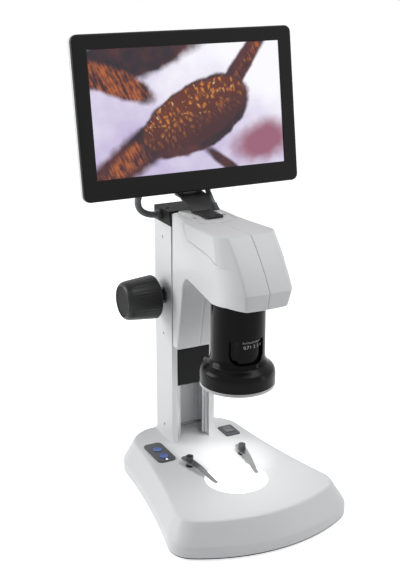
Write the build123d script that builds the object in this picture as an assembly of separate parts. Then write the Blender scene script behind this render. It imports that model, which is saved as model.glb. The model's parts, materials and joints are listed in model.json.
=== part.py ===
from build123d import *
import math
import os

# A desktop digital microscope with its own screen.  Millimetres.
# Origin: on the table, under the middle of the base.  +Z up, +X to the right of a
# person at the front, and that person looks along +Y.

os.makedirs("parts", exist_ok=True)

# ---------------------------------------------------------------- driving sizes
# base
base_depth = 250.0
base_height = 37.5
nose_radius = 178.0
front_half_width = 104.5
waist_half_width = 82.5
tail_half_width = 74.0
front_corner_radius = 26.0
back_corner_radius = 38.0
skirt_top = 15.5
nose_slope_run = 15.5
side_slope_run = 11.0
back_slope_run = 5.5
base_wall = 3.0
plate_thickness = 1.5
plate_setback = 1.0
foot_height = 2.5
foot_radius = 9.0
column_setback = 13.7

# stage
stage_radius = 33.3
stage_thickness = 4.0
stage_ledge = 4.0
stage_well_radius = 39.0
stage_well_bottom = 27.0
board_thickness = 1.6

# column
column_reach = 101.3
column_width = 52.0
column_depth = 42.0
column_height = 252.0
column_wall = 6.5
column_back_wall = 5.0
cap_height = 15.0
cap_lean = 5.0
heel_radius = 8.0

# guide and rack drive
rail_thickness = 3.0
rail_depth = 23.0
tongue_depth = 4.0
tongue_reach = 3.0
guide_gap = 0.3
cover_thickness = 1.5
carriage_skirt = 49.0
cover_screw_inset = 5.5
cover_screw_drop = 22.0
rack_overrun = 11.0
rack_width = 10.0
tooth_module = 1.0
pinion_teeth = 16
pressure_angle = 20.0
tooth_backlash = 0.16
tooth_bottom_room = 0.25
drive_under_top = 81.5
drive_depth = 20.0
shaft_radius = 4.0
running_gap = 0.04
bush_radius = 7.0
bush_flange_radius = 9.0
bush_flange = 1.5
focus_down = 12.0
focus_up = 50.0

# focus knobs
knob_inner_radius = 24.0
knob_outer_radius = 21.0
knob_length = 38.5
knob_standoff = 10.5
knob_cap_radius = 17.0
knob_cap_thickness = 1.5

# head
head_over_cap = 1.5
nose_rise = 2.5
nose_belly = 3.0
tube_drop = 96.7
head_height = 63.3
chin_height = 17.3
nose_reach = 61.5
nose_bottom_reach = 58.0
nose_top_reach = 23.0
nose_bow = 1.3
nose_face_half = 25.0
nose_bottom_face_half = 22.5
nose_half_width = 38.5
nose_top_half_width = 33.0
nose_bottom_half_width = 36.0
nose_cheek = 21.0
nose_top_cheek = 11.0
nose_edge_round = 4.0
cheek_round = 8.0
head_gap = 0.8
head_wall = 2.5
leg_drop = 86.7
leg_foot_depth = 15.0
leg_top_depth = 30.0
arm_rise = 1.8
tube_dip = 4.8
arch_radius = 12.0
top_plate_thickness = 1.5
top_plate_length = 55.0
top_plate_setback = 7.3
top_plate_half_width = 23.0
top_plate_corner = 6.0

# optics
sleeve_radius = 27.7
sleeve_wall = 2.5
sleeve_lift = 26.0
sleeve_flare = 2.7
sleeve_gap = 0.3
window_lift = 3.5
window_height = 25.5
window_half_angle = 41.0
window_angle = -6.0
barrel_bore = 21.0
diffuser_floor = 2.5
ring_radius = 38.7
diffuser_height = 3.5
ring_side_height = 16.0
ring_shoulder_radius = 33.0
ring_shoulder_height = 23.0
ring_wall = 2.0

# screen
glass_width = 217.0
glass_height = 128.0
bezel_side = 15.3
bezel_tall = 18.2
screen_tilt = 8.67
screen_over_head = 19.9
screen_ahead = 4.2
screen_corner = 7.0
glass_lift = 3.0
bezel_depth = 5.0
screen_edge_depth = 12.0
hump_side_inset = 35.8
hump_tall_inset = 26.2
hump_depth = 24.0
screen_wall = 2.2
hinge_from_edge = 4.2
hinge_set_back = 17.0
hinge_pin_radius = 2.0
knuckle_radius = 4.2
sheet = 2.5

# controls on the base
keypad_width = 21.0
keypad_length = 45.0
keypad_corner = 5.0
pad_height = 1.5
key_radius = 5.2
key_travel = 0.8
switch_width = 17.5
switch_length = 24.5
rocker_width = 10.5
rocker_length = 15.0
rocker_pin_radius = 1.2
rocker_pin_reach = 1.4

# stage clips
clip_span = 32.0
clip_back = 46.0
clip_post_radius = 2.5
clip_knob_radius = 4.0
clip_knob_height = 6.0
clip_leaf_height = 5.5
clip_leaf_thickness = 0.6
clip_tip_span = 24.0
clip_tip_ahead = 48.0

# cords
screen_lead_radius = 3.5
head_lead_radius = 3.0

# ------------------------------------------------------------- places worked out
floor_plate = foot_height
deck = base_height
column_back = base_depth / 2 - column_setback
face_y = column_back - column_depth
axis_y = face_y - column_reach
column_top = deck + column_height
column_mid = face_y + column_depth / 2
cap_top = column_top + cap_height
channel_half = column_width / 2 - column_wall
drive_y = face_y + drive_depth
pitch_radius = tooth_module * pinion_teeth / 2
pitch_line = drive_y - pitch_radius
head_back = face_y - head_gap
head_top = cap_top + head_over_cap
head_bottom = head_top - head_height
head_crease = head_bottom + chin_height
ring_bottom = head_bottom - tube_drop
leg_bottom = head_bottom - leg_drop
deck_bend = face_y - top_plate_setback - top_plate_length - 2.0
drive_height = column_top - drive_under_top
carriage_bottom = leg_bottom - carriage_skirt
carriage_top = drive_height + focus_down + rack_overrun
screen_width = glass_width + 2 * bezel_side
screen_height = glass_height + 2 * bezel_tall
hump_width = screen_width - 2 * hump_side_inset
hump_height = screen_height - 2 * hump_tall_inset
hinge_drop = screen_height / 2 - hinge_from_edge
screen_centre_height = head_top + screen_over_head + screen_height / 2


def block(x0, x1, y0, y1, z0, z1):
    """A box from its two corners."""
    return Pos((x0 + x1) / 2, (y0 + y1) / 2, (z0 + z1) / 2) * Box(x1 - x0, y1 - y0, z1 - z0)


def post(x, y, z0, z1, radius):
    """An upright round bar."""
    return Pos(x, y, (z0 + z1) / 2) * Cylinder(radius, z1 - z0)


def cross_bar(x0, x1, y, z, radius):
    """A round bar along X."""
    return Pos((x0 + x1) / 2, y, z) * Rot(0, 90, 0) * Cylinder(radius, x1 - x0)


def side_profile(points, half_width):
    """A closed outline of (y, z) points, drawn out along X to both sides of the middle."""
    face = make_face(Polyline([(0, y, z) for y, z in points], close=True))
    return extrude(face, amount=half_width, dir=(1, 0, 0), both=True)


def turned(points, x=0.0, y=0.0):
    """A closed outline of (radius, z) points, turned round an upright axis."""
    face = make_face(Polyline([(r, 0, z) for r, z in points], close=True))
    return Pos(x, y, 0) * revolve(face, Axis.Z)


def rounded_plate(width, length, corner, z0, z1, x=0.0, y=0.0):
    """A flat plate with rounded corners."""
    return Pos(x, y, z0) * extrude(RectangleRounded(width, length, corner), z1 - z0)


def save(node, *solids):
    """Writes one node.  Several solids share it where a name covers a set."""
    shape = solids[0] if len(solids) == 1 else Compound(children=list(solids))
    export_step(shape, f"parts/{node}.step")


# ------------------------------------------------------------------------- base
def base_outline(nose_inset, side_inset, back_inset):
    """The base seen from above: a bowed nose, slightly hollow sides and a straight back."""
    nose_y = -base_depth / 2 + nose_inset
    back_y = base_depth / 2 - back_inset
    shoulder_x = front_half_width - side_inset
    waist_x = waist_half_width - side_inset
    tail_x = tail_half_width - side_inset
    shoulder_y = nose_y + nose_radius - math.sqrt(nose_radius ** 2 - shoulder_x ** 2)
    waist_y = (shoulder_y + back_y) / 2
    front = ThreePointArc((-shoulder_x, shoulder_y), (0, nose_y), (shoulder_x, shoulder_y))
    right = ThreePointArc((shoulder_x, shoulder_y), (waist_x, waist_y), (tail_x, back_y))
    rear = Line((tail_x, back_y), (-tail_x, back_y))
    left = ThreePointArc((-tail_x, back_y), (-waist_x, waist_y), (-shoulder_x, shoulder_y))
    sketch = Sketch() + make_face(Curve() + [front, right, rear, left])
    front_corners = sketch.vertices().filter_by(lambda v: v.Y < waist_y)
    sketch = fillet(front_corners, front_corner_radius)
    back_corners = [v for v in sketch.vertices() if abs(v.Y - back_y) < 0.01]
    return fillet(back_corners, back_corner_radius)


def base_form(inset, bottom, top):
    """The base's outer form, or the same form moved inwards: an upright skirt under a slope."""
    low = base_outline(inset, inset, inset)
    high = base_outline(nose_slope_run + inset, side_slope_run + inset, back_slope_run + inset)
    skirt = extrude(Pos(0, 0, bottom) * low, skirt_top - bottom)
    slope = loft([Pos(0, 0, skirt_top) * low, Pos(0, 0, top) * high], ruled=True)
    return skirt + slope


housing_bottom = floor_plate + plate_thickness
ceiling = deck - base_wall
pad_bottom = ceiling - 2.0
plate_screw_inset = 63.0
foot_inset = 47.0
screw_x = waist_half_width - 22.5
screw_y = base_depth / 2 - plate_screw_inset
screw_places = [(sx * screw_x, sy * screw_y) for sx in (-1, 1) for sy in (-1, 1)]
front_foot_x = front_half_width - 32.5
rear_foot_x = tail_half_width - 20.0
foot_places = [(sx * front_foot_x, foot_inset - base_depth / 2) for sx in (-1, 1)]
foot_places += [(sx * rear_foot_x, base_depth / 2 - 33.0) for sx in (-1, 1)]
base_boss_radius = 5.0
base_screw_radius = 1.5
base_screw_head = 3.0
pilot_gap = 0.1
column_screw_places = [(sx * (column_width - column_wall) / 2, face_y + depth)
                       for sx in (-1, 1) for depth in (8.0, 34.0)]
column_screw_radius = 1.6
column_screw_head = 3.0
column_screw_bottom = 24.0
column_screw_top = deck + 14.0
keypad_x = -48.5
keypad_y = face_y - 13.8
switch_x = 45.75
switch_y = face_y + 0.95
key_ys = [keypad_y - 11.0, keypad_y + 6.2]
lamp_y = keypad_y - 18.9
lamp_radius = 1.2
inlet_x = 40.0
inlet_z = 12.0
inlet_radius = 5.5
clip_y = axis_y + clip_back
clip_places = [(-clip_span, clip_y), (clip_span, clip_y)]
clip_socket_radius = 4.5
clip_socket_depth = 9.0

base_cavity = base_form(base_wall, housing_bottom, ceiling)
base_housing = base_form(0.0, housing_bottom, deck) - base_cavity
for x, y in screw_places:
    base_housing += post(x, y, housing_bottom, ceiling + 0.5, base_boss_radius)
base_housing += post(0, axis_y, stage_well_bottom, ceiling + 0.5, stage_well_radius)
base_housing += block(-column_width / 2, column_width / 2, face_y, column_back,
                      column_screw_bottom, ceiling + 0.5)
for x, y in clip_places:
    base_housing += post(x, y, deck - clip_socket_depth - 2, ceiling + 0.5, clip_socket_radius + 2)
heel_start = column_back + heel_radius
heel_arc = ThreePointArc(
    (0, column_back, deck + heel_radius),
    (0, column_back + heel_radius * (1 - math.sqrt(0.5)), deck + heel_radius * (1 - math.sqrt(0.5))),
    (0, heel_start, deck),
)
heel_lines = Polyline((0, heel_start, deck), (0, heel_start, deck - 1), (0, column_back, deck - 1),
                      (0, column_back, deck + heel_radius))
heel_face = make_face(Curve() + [heel_arc, heel_lines])
heel = extrude(heel_face, amount=column_width / 2, dir=(1, 0, 0), both=True)
base_housing += heel
base_housing -= post(0, axis_y, deck - stage_thickness, deck + 1, stage_radius + 0.1)
base_housing -= post(0, axis_y, 0, deck, stage_radius - stage_ledge)
for x, y in screw_places:
    base_housing -= post(x, y, 0, housing_bottom + 12, base_screw_radius + pilot_gap)
for x, y in column_screw_places:
    base_housing -= post(x, y, 0, deck + 1, column_screw_radius + pilot_gap)
for x, y in clip_places:
    base_housing -= post(x, y, deck - clip_socket_depth, deck + 1, clip_socket_radius)
keypad_hole = (keypad_width - 5, keypad_length - 4)
switch_hole = (switch_width - 2, switch_length - 6)
base_housing -= rounded_plate(*keypad_hole, 3, ceiling - 3, deck + 1, keypad_x, keypad_y)
base_housing -= rounded_plate(*switch_hole, 1.5, ceiling - 12, deck + 1, switch_x, switch_y)
inlet_hole = Pos(inlet_x, base_depth / 2, inlet_z) * Rot(90, 0, 0) * Cylinder(inlet_radius, 30)
base_housing -= inlet_hole
save("base_housing", base_housing)

board_edge_x = inlet_x + 12
board_back = base_depth / 2 - 30.0
board_front = board_back - 45.0
board_lift = 6.0
board_stud_places = [(x, y) for x in (-40.0, board_edge_x - 5) for y in (board_front + 5, board_back - 5)]
base_plate = Pos(0, 0, floor_plate) * extrude(base_outline(*[plate_setback] * 3), plate_thickness)
for x, y in screw_places:
    base_plate -= post(x, y, 0, housing_bottom + 1, base_screw_radius + pilot_gap)
for x, y in board_stud_places:
    base_plate += post(x, y, floor_plate + 0.5, housing_bottom + board_lift, 2.5)
save("base_plate", base_plate)

feet = []
for x, y in foot_places:
    foot_outline = [(0, 0), (foot_radius - 1, 0), (foot_radius, 1), (foot_radius, foot_height),
                    (0, foot_height)]
    feet.append(turned(foot_outline, x, y))
save("rubber_feet", *feet)

screws = []
for x, y in screw_places:
    screws.append(post(x, y, floor_plate - 1.5, floor_plate, base_screw_head)
                  + post(x, y, floor_plate - 0.5, housing_bottom + 10, base_screw_radius))
for x, y in column_screw_places:
    screws.append(post(x, y, column_screw_bottom - 3, column_screw_bottom, column_screw_head)
                  + post(x, y, column_screw_bottom - 0.5, column_screw_top - 1, column_screw_radius))
save("base_screws", *screws)

stage_plate = post(0, axis_y, deck - stage_thickness, deck, stage_radius)
save("stage_plate", stage_plate)
stage_board = post(0, axis_y, stage_well_bottom - board_thickness, stage_well_bottom, stage_well_radius - 2)
leds = []
for ring_r, number in ((9.0, 6), (20.0, 12)):
    for place in PolarLocations(ring_r, number):
        spot = place.position
        leds.append(block(spot.X - 1.6, spot.X + 1.6, axis_y + spot.Y - 1.6, axis_y + spot.Y + 1.6,
                          stage_well_bottom, stage_well_bottom + 1.4))
save("stage_light_board", stage_board, *leds)

# controls ----------------------------------------------------------------------
pad_top = deck + pad_height
keypad_frame = rounded_plate(keypad_width, keypad_length, keypad_corner, deck, pad_top, keypad_x, keypad_y)
keypad_frame += rounded_plate(keypad_hole[0] - 0.4, keypad_hole[1] - 0.4, 2.8, ceiling - 1, deck + 0.5,
                              keypad_x, keypad_y)
key_gap = 0.3
key_floor = ceiling - 1
for y in key_ys:
    keypad_frame -= post(keypad_x, y, 0, pad_top + 1, key_radius + key_gap)
keypad_frame -= post(keypad_x, lamp_y, 0, pad_top + 1, lamp_radius)
save("keypad_frame", keypad_frame)
keypad_board = rounded_plate(keypad_hole[0] - 0.4, keypad_hole[1] - 0.4, 2.8,
                             key_floor - board_thickness, key_floor, keypad_x, keypad_y)
key_top = pad_top + 0.6
for name, y in zip(("front_key", "rear_key"), key_ys):
    key = turned([(0, key_floor + key_travel + 0.2), (key_radius, key_floor + key_travel + 0.2),
                  (key_radius, key_top - 0.4), (key_radius - 0.4, key_top), (0, key_top)], keypad_x, y)
    save(name, key)
status_lamp = post(keypad_x, lamp_y, key_floor, pad_top + 0.3, lamp_radius)
save("status_lamp", status_lamp)

rocker_pivot = deck - 1.0
switch_floor = deck - 13.0
switch_frame = rounded_plate(switch_width, switch_length, 2, deck, pad_top, switch_x, switch_y)
switch_frame += rounded_plate(switch_hole[0] - 0.4, switch_hole[1] - 0.4, 1.3, switch_floor, deck + 0.5,
                              switch_x, switch_y)
rocker_room = 0.4
switch_frame -= rounded_plate(rocker_width + 2 * rocker_room, rocker_length + 2 * rocker_room, 0.8,
                              rocker_pivot - 5.5, pad_top + 1, switch_x, switch_y + 1.5)
rocker_y = switch_y + 1.5
pin_end = rocker_width / 2 + rocker_pin_reach
pin_bore = cross_bar(-pin_end - 0.2, pin_end + 0.2, rocker_y, rocker_pivot, rocker_pin_radius + running_gap)
switch_frame -= Pos(switch_x, 0, 0) * pin_bore
save("rocker_switch_frame", switch_frame)
rocker_half = rocker_length / 2 - 0.7
rocker_top = pad_top + 1.6
rocker = side_profile(
    [(rocker_y - rocker_half, rocker_pivot + 0.4), (rocker_y - 3.2, rocker_pivot - 3.2),
     (rocker_y + 3.2, rocker_pivot - 3.2), (rocker_y + rocker_half, rocker_pivot + 0.4),
     (rocker_y + rocker_half - 0.3, rocker_top - 0.9), (rocker_y, rocker_top - 1.5),
     (rocker_y - rocker_half + 0.3, rocker_top - 0.9)],
    rocker_width / 2)
rocker += cross_bar(-pin_end, pin_end, rocker_y, rocker_pivot, rocker_pin_radius)
save("power_rocker", Pos(switch_x, 0, 0) * rocker)

inlet_front = base_depth / 2 - 0.8
jack_bore_radius = 3.2
jack_bore_depth = 11.0
jack_pin_radius = 1.0
jack_length = 16.0


def jack_bar(front, back, radius):
    """A round bar along Y, given by how far its two ends lie behind the jack's face."""
    middle = inlet_front - (front + back) / 2
    return Pos(inlet_x, middle, inlet_z) * Rot(90, 0, 0) * Cylinder(radius, back - front)


power_inlet = jack_bar(0, jack_length, inlet_radius - 0.02)
power_inlet -= jack_bar(-1, jack_bore_depth, jack_bore_radius)
power_inlet += jack_bar(1.0, jack_bore_depth + 1, jack_pin_radius)
save("power_inlet", power_inlet)

control_board = block(-45, board_edge_x, board_front, board_back, housing_bottom + board_lift,
                      housing_bottom + board_lift + board_thickness)
save("control_boards", control_board, keypad_board)

# stage clips ---------------------------------------------------------------------
socket_bore = clip_post_radius + running_gap
sockets = []
for x, y in clip_places:
    sockets.append(post(x, y, deck - clip_socket_depth, deck + 0.4, clip_socket_radius - 0.02)
                   - post(x, y, deck - clip_socket_depth + 1, deck + 1, socket_bore))
save("clip_sockets", *sockets)

leaf_low = deck + clip_leaf_height
leaf_top = leaf_low + clip_leaf_thickness
for side, name in ((-1, "left"), (1, "right")):
    x = side * clip_span
    pin = post(x, clip_y, deck - clip_socket_depth + 1.3, deck + 1.0, clip_post_radius)
    pin += post(x, clip_y, deck + 0.7, leaf_low, clip_post_radius + 1.0)
    pin += post(x, clip_y, leaf_low - 0.5, leaf_top + 0.5, 1.5)
    toe = -side * (clip_span - clip_tip_span)
    lean = math.degrees(math.atan2(toe, clip_tip_ahead))
    reach = math.hypot(toe, clip_tip_ahead)
    rest_height = 0.35
    bend = 17.0
    low_bend = 8.0
    strip = [(12.0, clip_leaf_height), (-bend, clip_leaf_height),
             (-reach + low_bend, rest_height + 0.7), (-reach, rest_height)]
    upper = [(a, b + clip_leaf_thickness) for a, b in reversed(strip)]
    leaf = side_profile(strip + upper, 8.0)
    plan = make_face(Polyline([(-4.5, 12.5), (4.5, 12.5), (5.0, 0), (4.0, -14), (2.0, -reach),
                               (-2.0, -reach), (-4.0, -14), (-5.0, 0)], close=True))
    leaf = leaf & extrude(plan, 20)
    leaf -= post(0, 0, 0, 20, 1.6)
    leaf = Pos(x, clip_y, deck) * Rot(0, 0, lean) * leaf
    save(f"{name}_clip_leaf", leaf)
    knob_bottom = leaf_top
    knob_top = knob_bottom + clip_knob_height
    knob = turned([(0, knob_bottom), (clip_knob_radius, knob_bottom), (clip_knob_radius, knob_top - 0.6),
                   (clip_knob_radius - 0.6, knob_top), (1.4, knob_top), (1.4, knob_top - 1.0),
                   (0, knob_top - 1.0)], x, clip_y)
    save(f"{name}_clip_thumbscrew", pin + knob)

# column --------------------------------------------------------------------------
column = block(-column_width / 2, column_width / 2, face_y, column_back, deck, column_top)
column -= block(-channel_half, channel_half, face_y - 1, column_back - column_back_wall,
                deck - 1, column_top + 1)
for x, y in column_screw_places:
    column -= post(x, y, deck - 1, column_screw_top, column_screw_radius + pilot_gap)
column -= cross_bar(-column_width, column_width, drive_y, drive_height, bush_radius)
set_screw_levels = [deck + 16.1, (deck + column_top) / 2, column_top - 15.7]
set_screw_radius = 1.5
for z in set_screw_levels:
    column -= cross_bar(-column_width, column_width, column_mid, z, set_screw_radius + pilot_gap)
rod_level = deck + 14.5
rod_depth = 14.0
rod_radius = 1.5
column -= cross_bar(-channel_half - 4, channel_half + 4, face_y + rod_depth, rod_level, rod_radius)
lead_exit_y = column_back - 16.3
save("column", column)

travel_stop = cross_bar(-channel_half - 4, channel_half + 4, face_y + rod_depth, rod_level, rod_radius)
save("travel_stop_rod", travel_stop)

rails = []
rail_bottom = deck + 4.0
rail_top = column_top - 0.5
tongue_front = face_y + 5.0
for side in (-1, 1):
    wall = side * channel_half
    strip = block(min(wall, wall - side * rail_thickness), max(wall, wall - side * rail_thickness),
                  face_y + 3, face_y + 3 + rail_depth, rail_bottom, rail_top)
    inner = wall - side * rail_thickness
    strip += block(min(inner, inner - side * tongue_reach), max(inner, inner - side * tongue_reach),
                   tongue_front, tongue_front + tongue_depth, rail_bottom, rail_top)
    strip -= cross_bar(-column_width, column_width, drive_y, drive_height, bush_radius + 0.5)
    strip -= cross_bar(-column_width, column_width, face_y + rod_depth, rod_level, rod_radius + 0.3)
    rails.append(strip)
save("guide_rails", *rails)

set_screws = []
for side in (-1, 1):
    for z in set_screw_levels:
        outer = side * (column_width / 2 - 0.4)
        set_screws.append(cross_bar(min(side * channel_half, outer), max(side * channel_half, outer),
                                    column_mid, z, set_screw_radius))
save("rail_screws", *set_screws)

cap_profile = [(face_y, column_top), (column_back, column_top),
               (column_back, cap_top), (face_y + cap_lean, cap_top)]
cap = side_profile(cap_profile, column_width / 2)
cap_screw_radius = 2.1
cap_screw_sink = 5.0
cap_screw_inset = 6.0
cap_hole = (cap_screw_inset - column_width / 2, column_mid - 0.3)
cap_screw_places = [(cap_hole[0], cap_hole[1]), (-cap_hole[0], cap_hole[1])]
for x, y in cap_screw_places:
    cap -= post(x, y, column_top, cap_top + 1, cap_screw_radius + pilot_gap)
gland_radius = 5.5
gland_z = column_top + 8.0
cap -= cross_bar(-column_width, -column_width / 2 + 2, lead_exit_y, gland_z, gland_radius - 1)
save("column_cap", cap)
cap_screws = []
for x, y in cap_screw_places:
    cap_screws.append(post(x, y, column_top, cap_top - cap_screw_sink, cap_screw_radius))
save("cap_screws", *cap_screws)

gland = cross_bar(-column_width / 2 - 4.0, -column_width / 2, lead_exit_y, gland_z, gland_radius)
gland += cross_bar(-column_width / 2 - 0.5, -column_width / 2 + 2, lead_exit_y, gland_z, gland_radius - 1.1)
save("screen_lead_gland", gland)

# focus drive ---------------------------------------------------------------------
bushes = []
for side in (-1, 1):
    inner = side * channel_half
    outer = side * (column_width / 2 + bush_flange)
    bush = cross_bar(min(inner, outer), max(inner, outer), drive_y, drive_height, bush_radius - 0.02)
    bush += cross_bar(min(side * column_width / 2, outer), max(side * column_width / 2, outer),
                      drive_y, drive_height, bush_flange_radius)
    bush -= cross_bar(-column_width, column_width, drive_y, drive_height, shaft_radius + running_gap)
    bushes.append(bush)
save("shaft_bushes", *bushes)


def involute_gear(teeth, module, width):
    """A spur gear about the Z axis, one tooth along +X.  Each flank is the involute of the base
    circle, and the tooth is thinned at the pitch circle by half the backlash."""
    radius = module * teeth / 2
    base = radius * math.cos(math.radians(pressure_angle))
    tip = radius + module * 0.95
    root = radius - module - tooth_bottom_room
    involute_at_pitch = math.tan(math.radians(pressure_angle)) - math.radians(pressure_angle)
    half_tooth = (math.pi * module / 2 - tooth_backlash / 2) / 2 / radius
    points = []
    for number in range(teeth):
        centre = 2 * math.pi * number / teeth
        flank = []
        for step in range(5):
            r = base + (tip - base) * step / 4
            roll = math.sqrt(max((r / base) ** 2 - 1, 0))
            turn = half_tooth + involute_at_pitch - (roll - math.atan(roll))
            flank.append((r, turn))
        foot = (root, flank[0][1])
        for r, turn in [foot] + flank:
            points.append((r * math.cos(centre - turn), r * math.sin(centre - turn)))
        for r, turn in reversed([foot] + flank):
            points.append((r * math.cos(centre + turn), r * math.sin(centre + turn)))
    return Pos(0, 0, -width / 2) * extrude(make_face(Polyline(points, close=True)), width)


shaft_end = column_width / 2 + knob_standoff + knob_length - 6
pinion = Rot(0, 90, 0) * Rot(0, 0, -90) * involute_gear(pinion_teeth, tooth_module, rack_width)
pinion = Pos(0, drive_y, drive_height) * pinion
pinion_shaft = pinion + cross_bar(-shaft_end, shaft_end, drive_y, drive_height, shaft_radius)
save("pinion_shaft", pinion_shaft)

knobs = []
knob_caps = []
knob_start = column_width / 2 + knob_standoff
knob_end = knob_start + knob_length
hub_start = column_width / 2 + bush_flange + 0.3
hub_radius = bush_flange_radius - 2.0
knob_fit = 0.02
knob_edge = 2.0
knob_nose = 6.0
knob_seat = knob_end - knob_cap_thickness
for side in (-1, 1):
    knob = turned([
        (0, knob_start), (knob_inner_radius - knob_edge, knob_start),
        (knob_inner_radius, knob_start + knob_edge),
        (knob_outer_radius, knob_end - knob_nose), (knob_outer_radius - knob_edge, knob_end - knob_edge),
        (knob_cap_radius + 0.6, knob_end), (knob_cap_radius, knob_end), (knob_cap_radius, knob_seat),
        (0, knob_seat)])
    knob += post(0, 0, hub_start, knob_start + 1, hub_radius)
    knob -= post(0, 0, hub_start - 1, shaft_end, shaft_radius + knob_fit)
    disc = post(0, 0, knob_seat, knob_end, knob_cap_radius - 0.1)
    place = Pos(0, drive_y, drive_height) * Rot(0, side * 90, 0)
    knobs.append(place * knob)
    knob_caps.append(place * disc)
save("focus_knobs", *knobs)
save("knob_caps", *knob_caps)

# carriage ------------------------------------------------------------------------
rail_inner = channel_half - rail_thickness - guide_gap
tongue_inner = rail_inner - tongue_reach
carriage_front = face_y + cover_thickness - 0.3
groove_front = tongue_front - guide_gap
groove_back = tongue_front + tongue_depth + guide_gap
rack_back = pitch_line - tooth_module - tooth_bottom_room - 2.5
rack_room = rack_width / 2 + 2.0
lip_back = face_y + 14.0
carriage = block(-rail_inner, rail_inner, carriage_front, groove_front, carriage_bottom, carriage_top)
carriage += block(-tongue_inner, tongue_inner, groove_front, rack_back, carriage_bottom, carriage_top)
for side in (-1, 1):
    near = side * rack_room
    web = side * tongue_inner
    far = side * rail_inner
    carriage += block(min(near, web), max(near, web), rack_back, groove_back, carriage_bottom, carriage_top)
    carriage += block(min(near, far), max(near, far), groove_back, lip_back, carriage_bottom, carriage_top)

rack_bottom = drive_height - focus_up - rack_overrun - 2.0
tooth_pitch = math.pi * tooth_module
rack_root = pitch_line - tooth_module - tooth_bottom_room
rack_tip = pitch_line + 0.95 * tooth_module
slope = math.tan(math.radians(pressure_angle))
half_thick = (tooth_pitch / 2 - tooth_backlash / 2) / 2
first_gap = math.ceil((rack_bottom + 3 - drive_height) / tooth_pitch)
last_gap = math.floor((carriage_top - 2 - drive_height) / tooth_pitch)
rack_points = [(rack_back, rack_bottom), (rack_root, rack_bottom)]
for gap in range(first_gap, last_gap):
    middle = drive_height + (gap + 0.5) * tooth_pitch
    rack_points += [(rack_root, middle - half_thick - slope * (pitch_line - rack_root)),
                    (rack_tip, middle - half_thick + slope * (rack_tip - pitch_line)),
                    (rack_tip, middle + half_thick - slope * (rack_tip - pitch_line)),
                    (rack_root, middle + half_thick + slope * (pitch_line - rack_root))]
rack_points += [(rack_root, carriage_top), (rack_back, carriage_top)]
rack = side_profile(rack_points, rack_width / 2)
save("focus_rack", rack)

cover_half = channel_half - 0.4
cover = block(-cover_half, cover_half, face_y - 0.3, carriage_front, carriage_bottom, leg_bottom - 0.3)
cover_screw_places = [(cover_half - cover_screw_inset, leg_bottom - cover_screw_drop)]
cover_screws = []
for x, z in cover_screw_places:
    hole = Pos(x, face_y, z) * Rot(90, 0, 0) * Cylinder(1.25, 12)
    cover -= hole
    carriage -= hole
    head_disc = Pos(x, face_y - 0.3 - 0.5, z) * Rot(90, 0, 0) * Cylinder(2.2, 1.0)
    stem = Pos(x, face_y + 1.8, z) * Rot(90, 0, 0) * Cylinder(1.2, 4.8)
    cover_screws.append(head_disc + stem)
save("slide_carriage", carriage)
save("slide_cover_plate", cover)
save("cover_screws", *cover_screws)

# head ----------------------------------------------------------------------------
def head_section(z, reach, face_half, half_width, cheek, inset):
    """The head cut level: sides that widen forwards, flat cheeks and a bowed face between the cheeks."""
    front = axis_y - reach + inset
    back = head_back - inset
    brow = face_half - inset / 2
    side = half_width - inset
    heel_half = column_width / 2 - inset
    shoulder = front + nose_bow
    turn = shoulder + cheek - 0.7 * inset
    bow = ThreePointArc((-brow, shoulder), (0, front), (brow, shoulder))
    rest = Polyline((brow, shoulder), (side, turn), (heel_half, back), (-heel_half, back), (-side, turn),
                    (-brow, shoulder))
    sketch = Sketch() + make_face(Curve() + [bow, rest])
    edges = sketch.vertices().filter_by(lambda v: v.Y < shoulder + 0.01)
    sketch = fillet(edges, nose_edge_round - inset)
    turns = sketch.vertices().filter_by(lambda v: abs(v.Y - turn) < 0.01)
    return Pos(0, 0, z) * fillet(turns, cheek_round - inset)


def head_form(inset):
    """The head's outer form, or the same form moved inwards by a wall."""
    nose_top = head_top + nose_rise
    deck_end = axis_y - nose_reach
    sections = []
    for share in (0.0, 0.3, 0.58, 1.0):
        z = head_crease + (nose_top - head_crease) * share - (inset if share == 1.0 else 0.0)
        bulge = nose_belly * 4 * share * (1 - share)
        reach = nose_reach + (nose_top_reach - nose_reach) * share + bulge
        half = nose_half_width + (nose_top_half_width - nose_half_width) * share ** 1.5
        cheek = nose_cheek + (nose_top_cheek - nose_cheek) * share ** 2
        sections.append(head_section(z, reach, nose_face_half, half, cheek, inset))
    deck_cut = side_profile([(head_back + 9, head_top - inset), (deck_bend, head_top - inset),
                             (axis_y - nose_top_reach, nose_top - inset), (deck_end, nose_top + 1 - inset),
                             (deck_end, nose_top + 20), (head_back + 9, nose_top + 20)], 60.0)
    upper = loft(sections) - deck_cut
    chin_size = (nose_bottom_reach, nose_bottom_face_half, nose_bottom_half_width, nose_cheek, inset)
    low = head_section(head_bottom + inset, *chin_size)
    chin = loft([low, sections[0]], ruled=True)
    leg_section = head_section(leg_bottom + inset, *chin_size)
    leg = extrude(leg_section, head_bottom - leg_bottom)
    return upper + chin + leg


def under_arm(inset):
    """What the arm's underside and the leg's front leave free, drawn out along X."""
    leg_front_low = head_back - leg_foot_depth + inset
    leg_front_high = head_back - leg_top_depth + inset
    arm_under = head_bottom + arm_rise + inset
    nose_under = head_bottom + inset
    corner_y = leg_front_high - 2.0
    dip_y = axis_y - 6.0
    points = [(axis_y - 80, leg_bottom - 10), (leg_front_low, leg_bottom - 10), (leg_front_low, leg_bottom),
              (leg_front_high, arm_under - arch_radius),
              (corner_y - arch_radius * 0.25, arm_under - arch_radius * 0.3),
              (corner_y - arch_radius, arm_under), (dip_y, nose_under - tube_dip),
              (dip_y - 30.0, nose_under), (axis_y - 80, nose_under)]
    return side_profile(points, 60.0)


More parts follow.
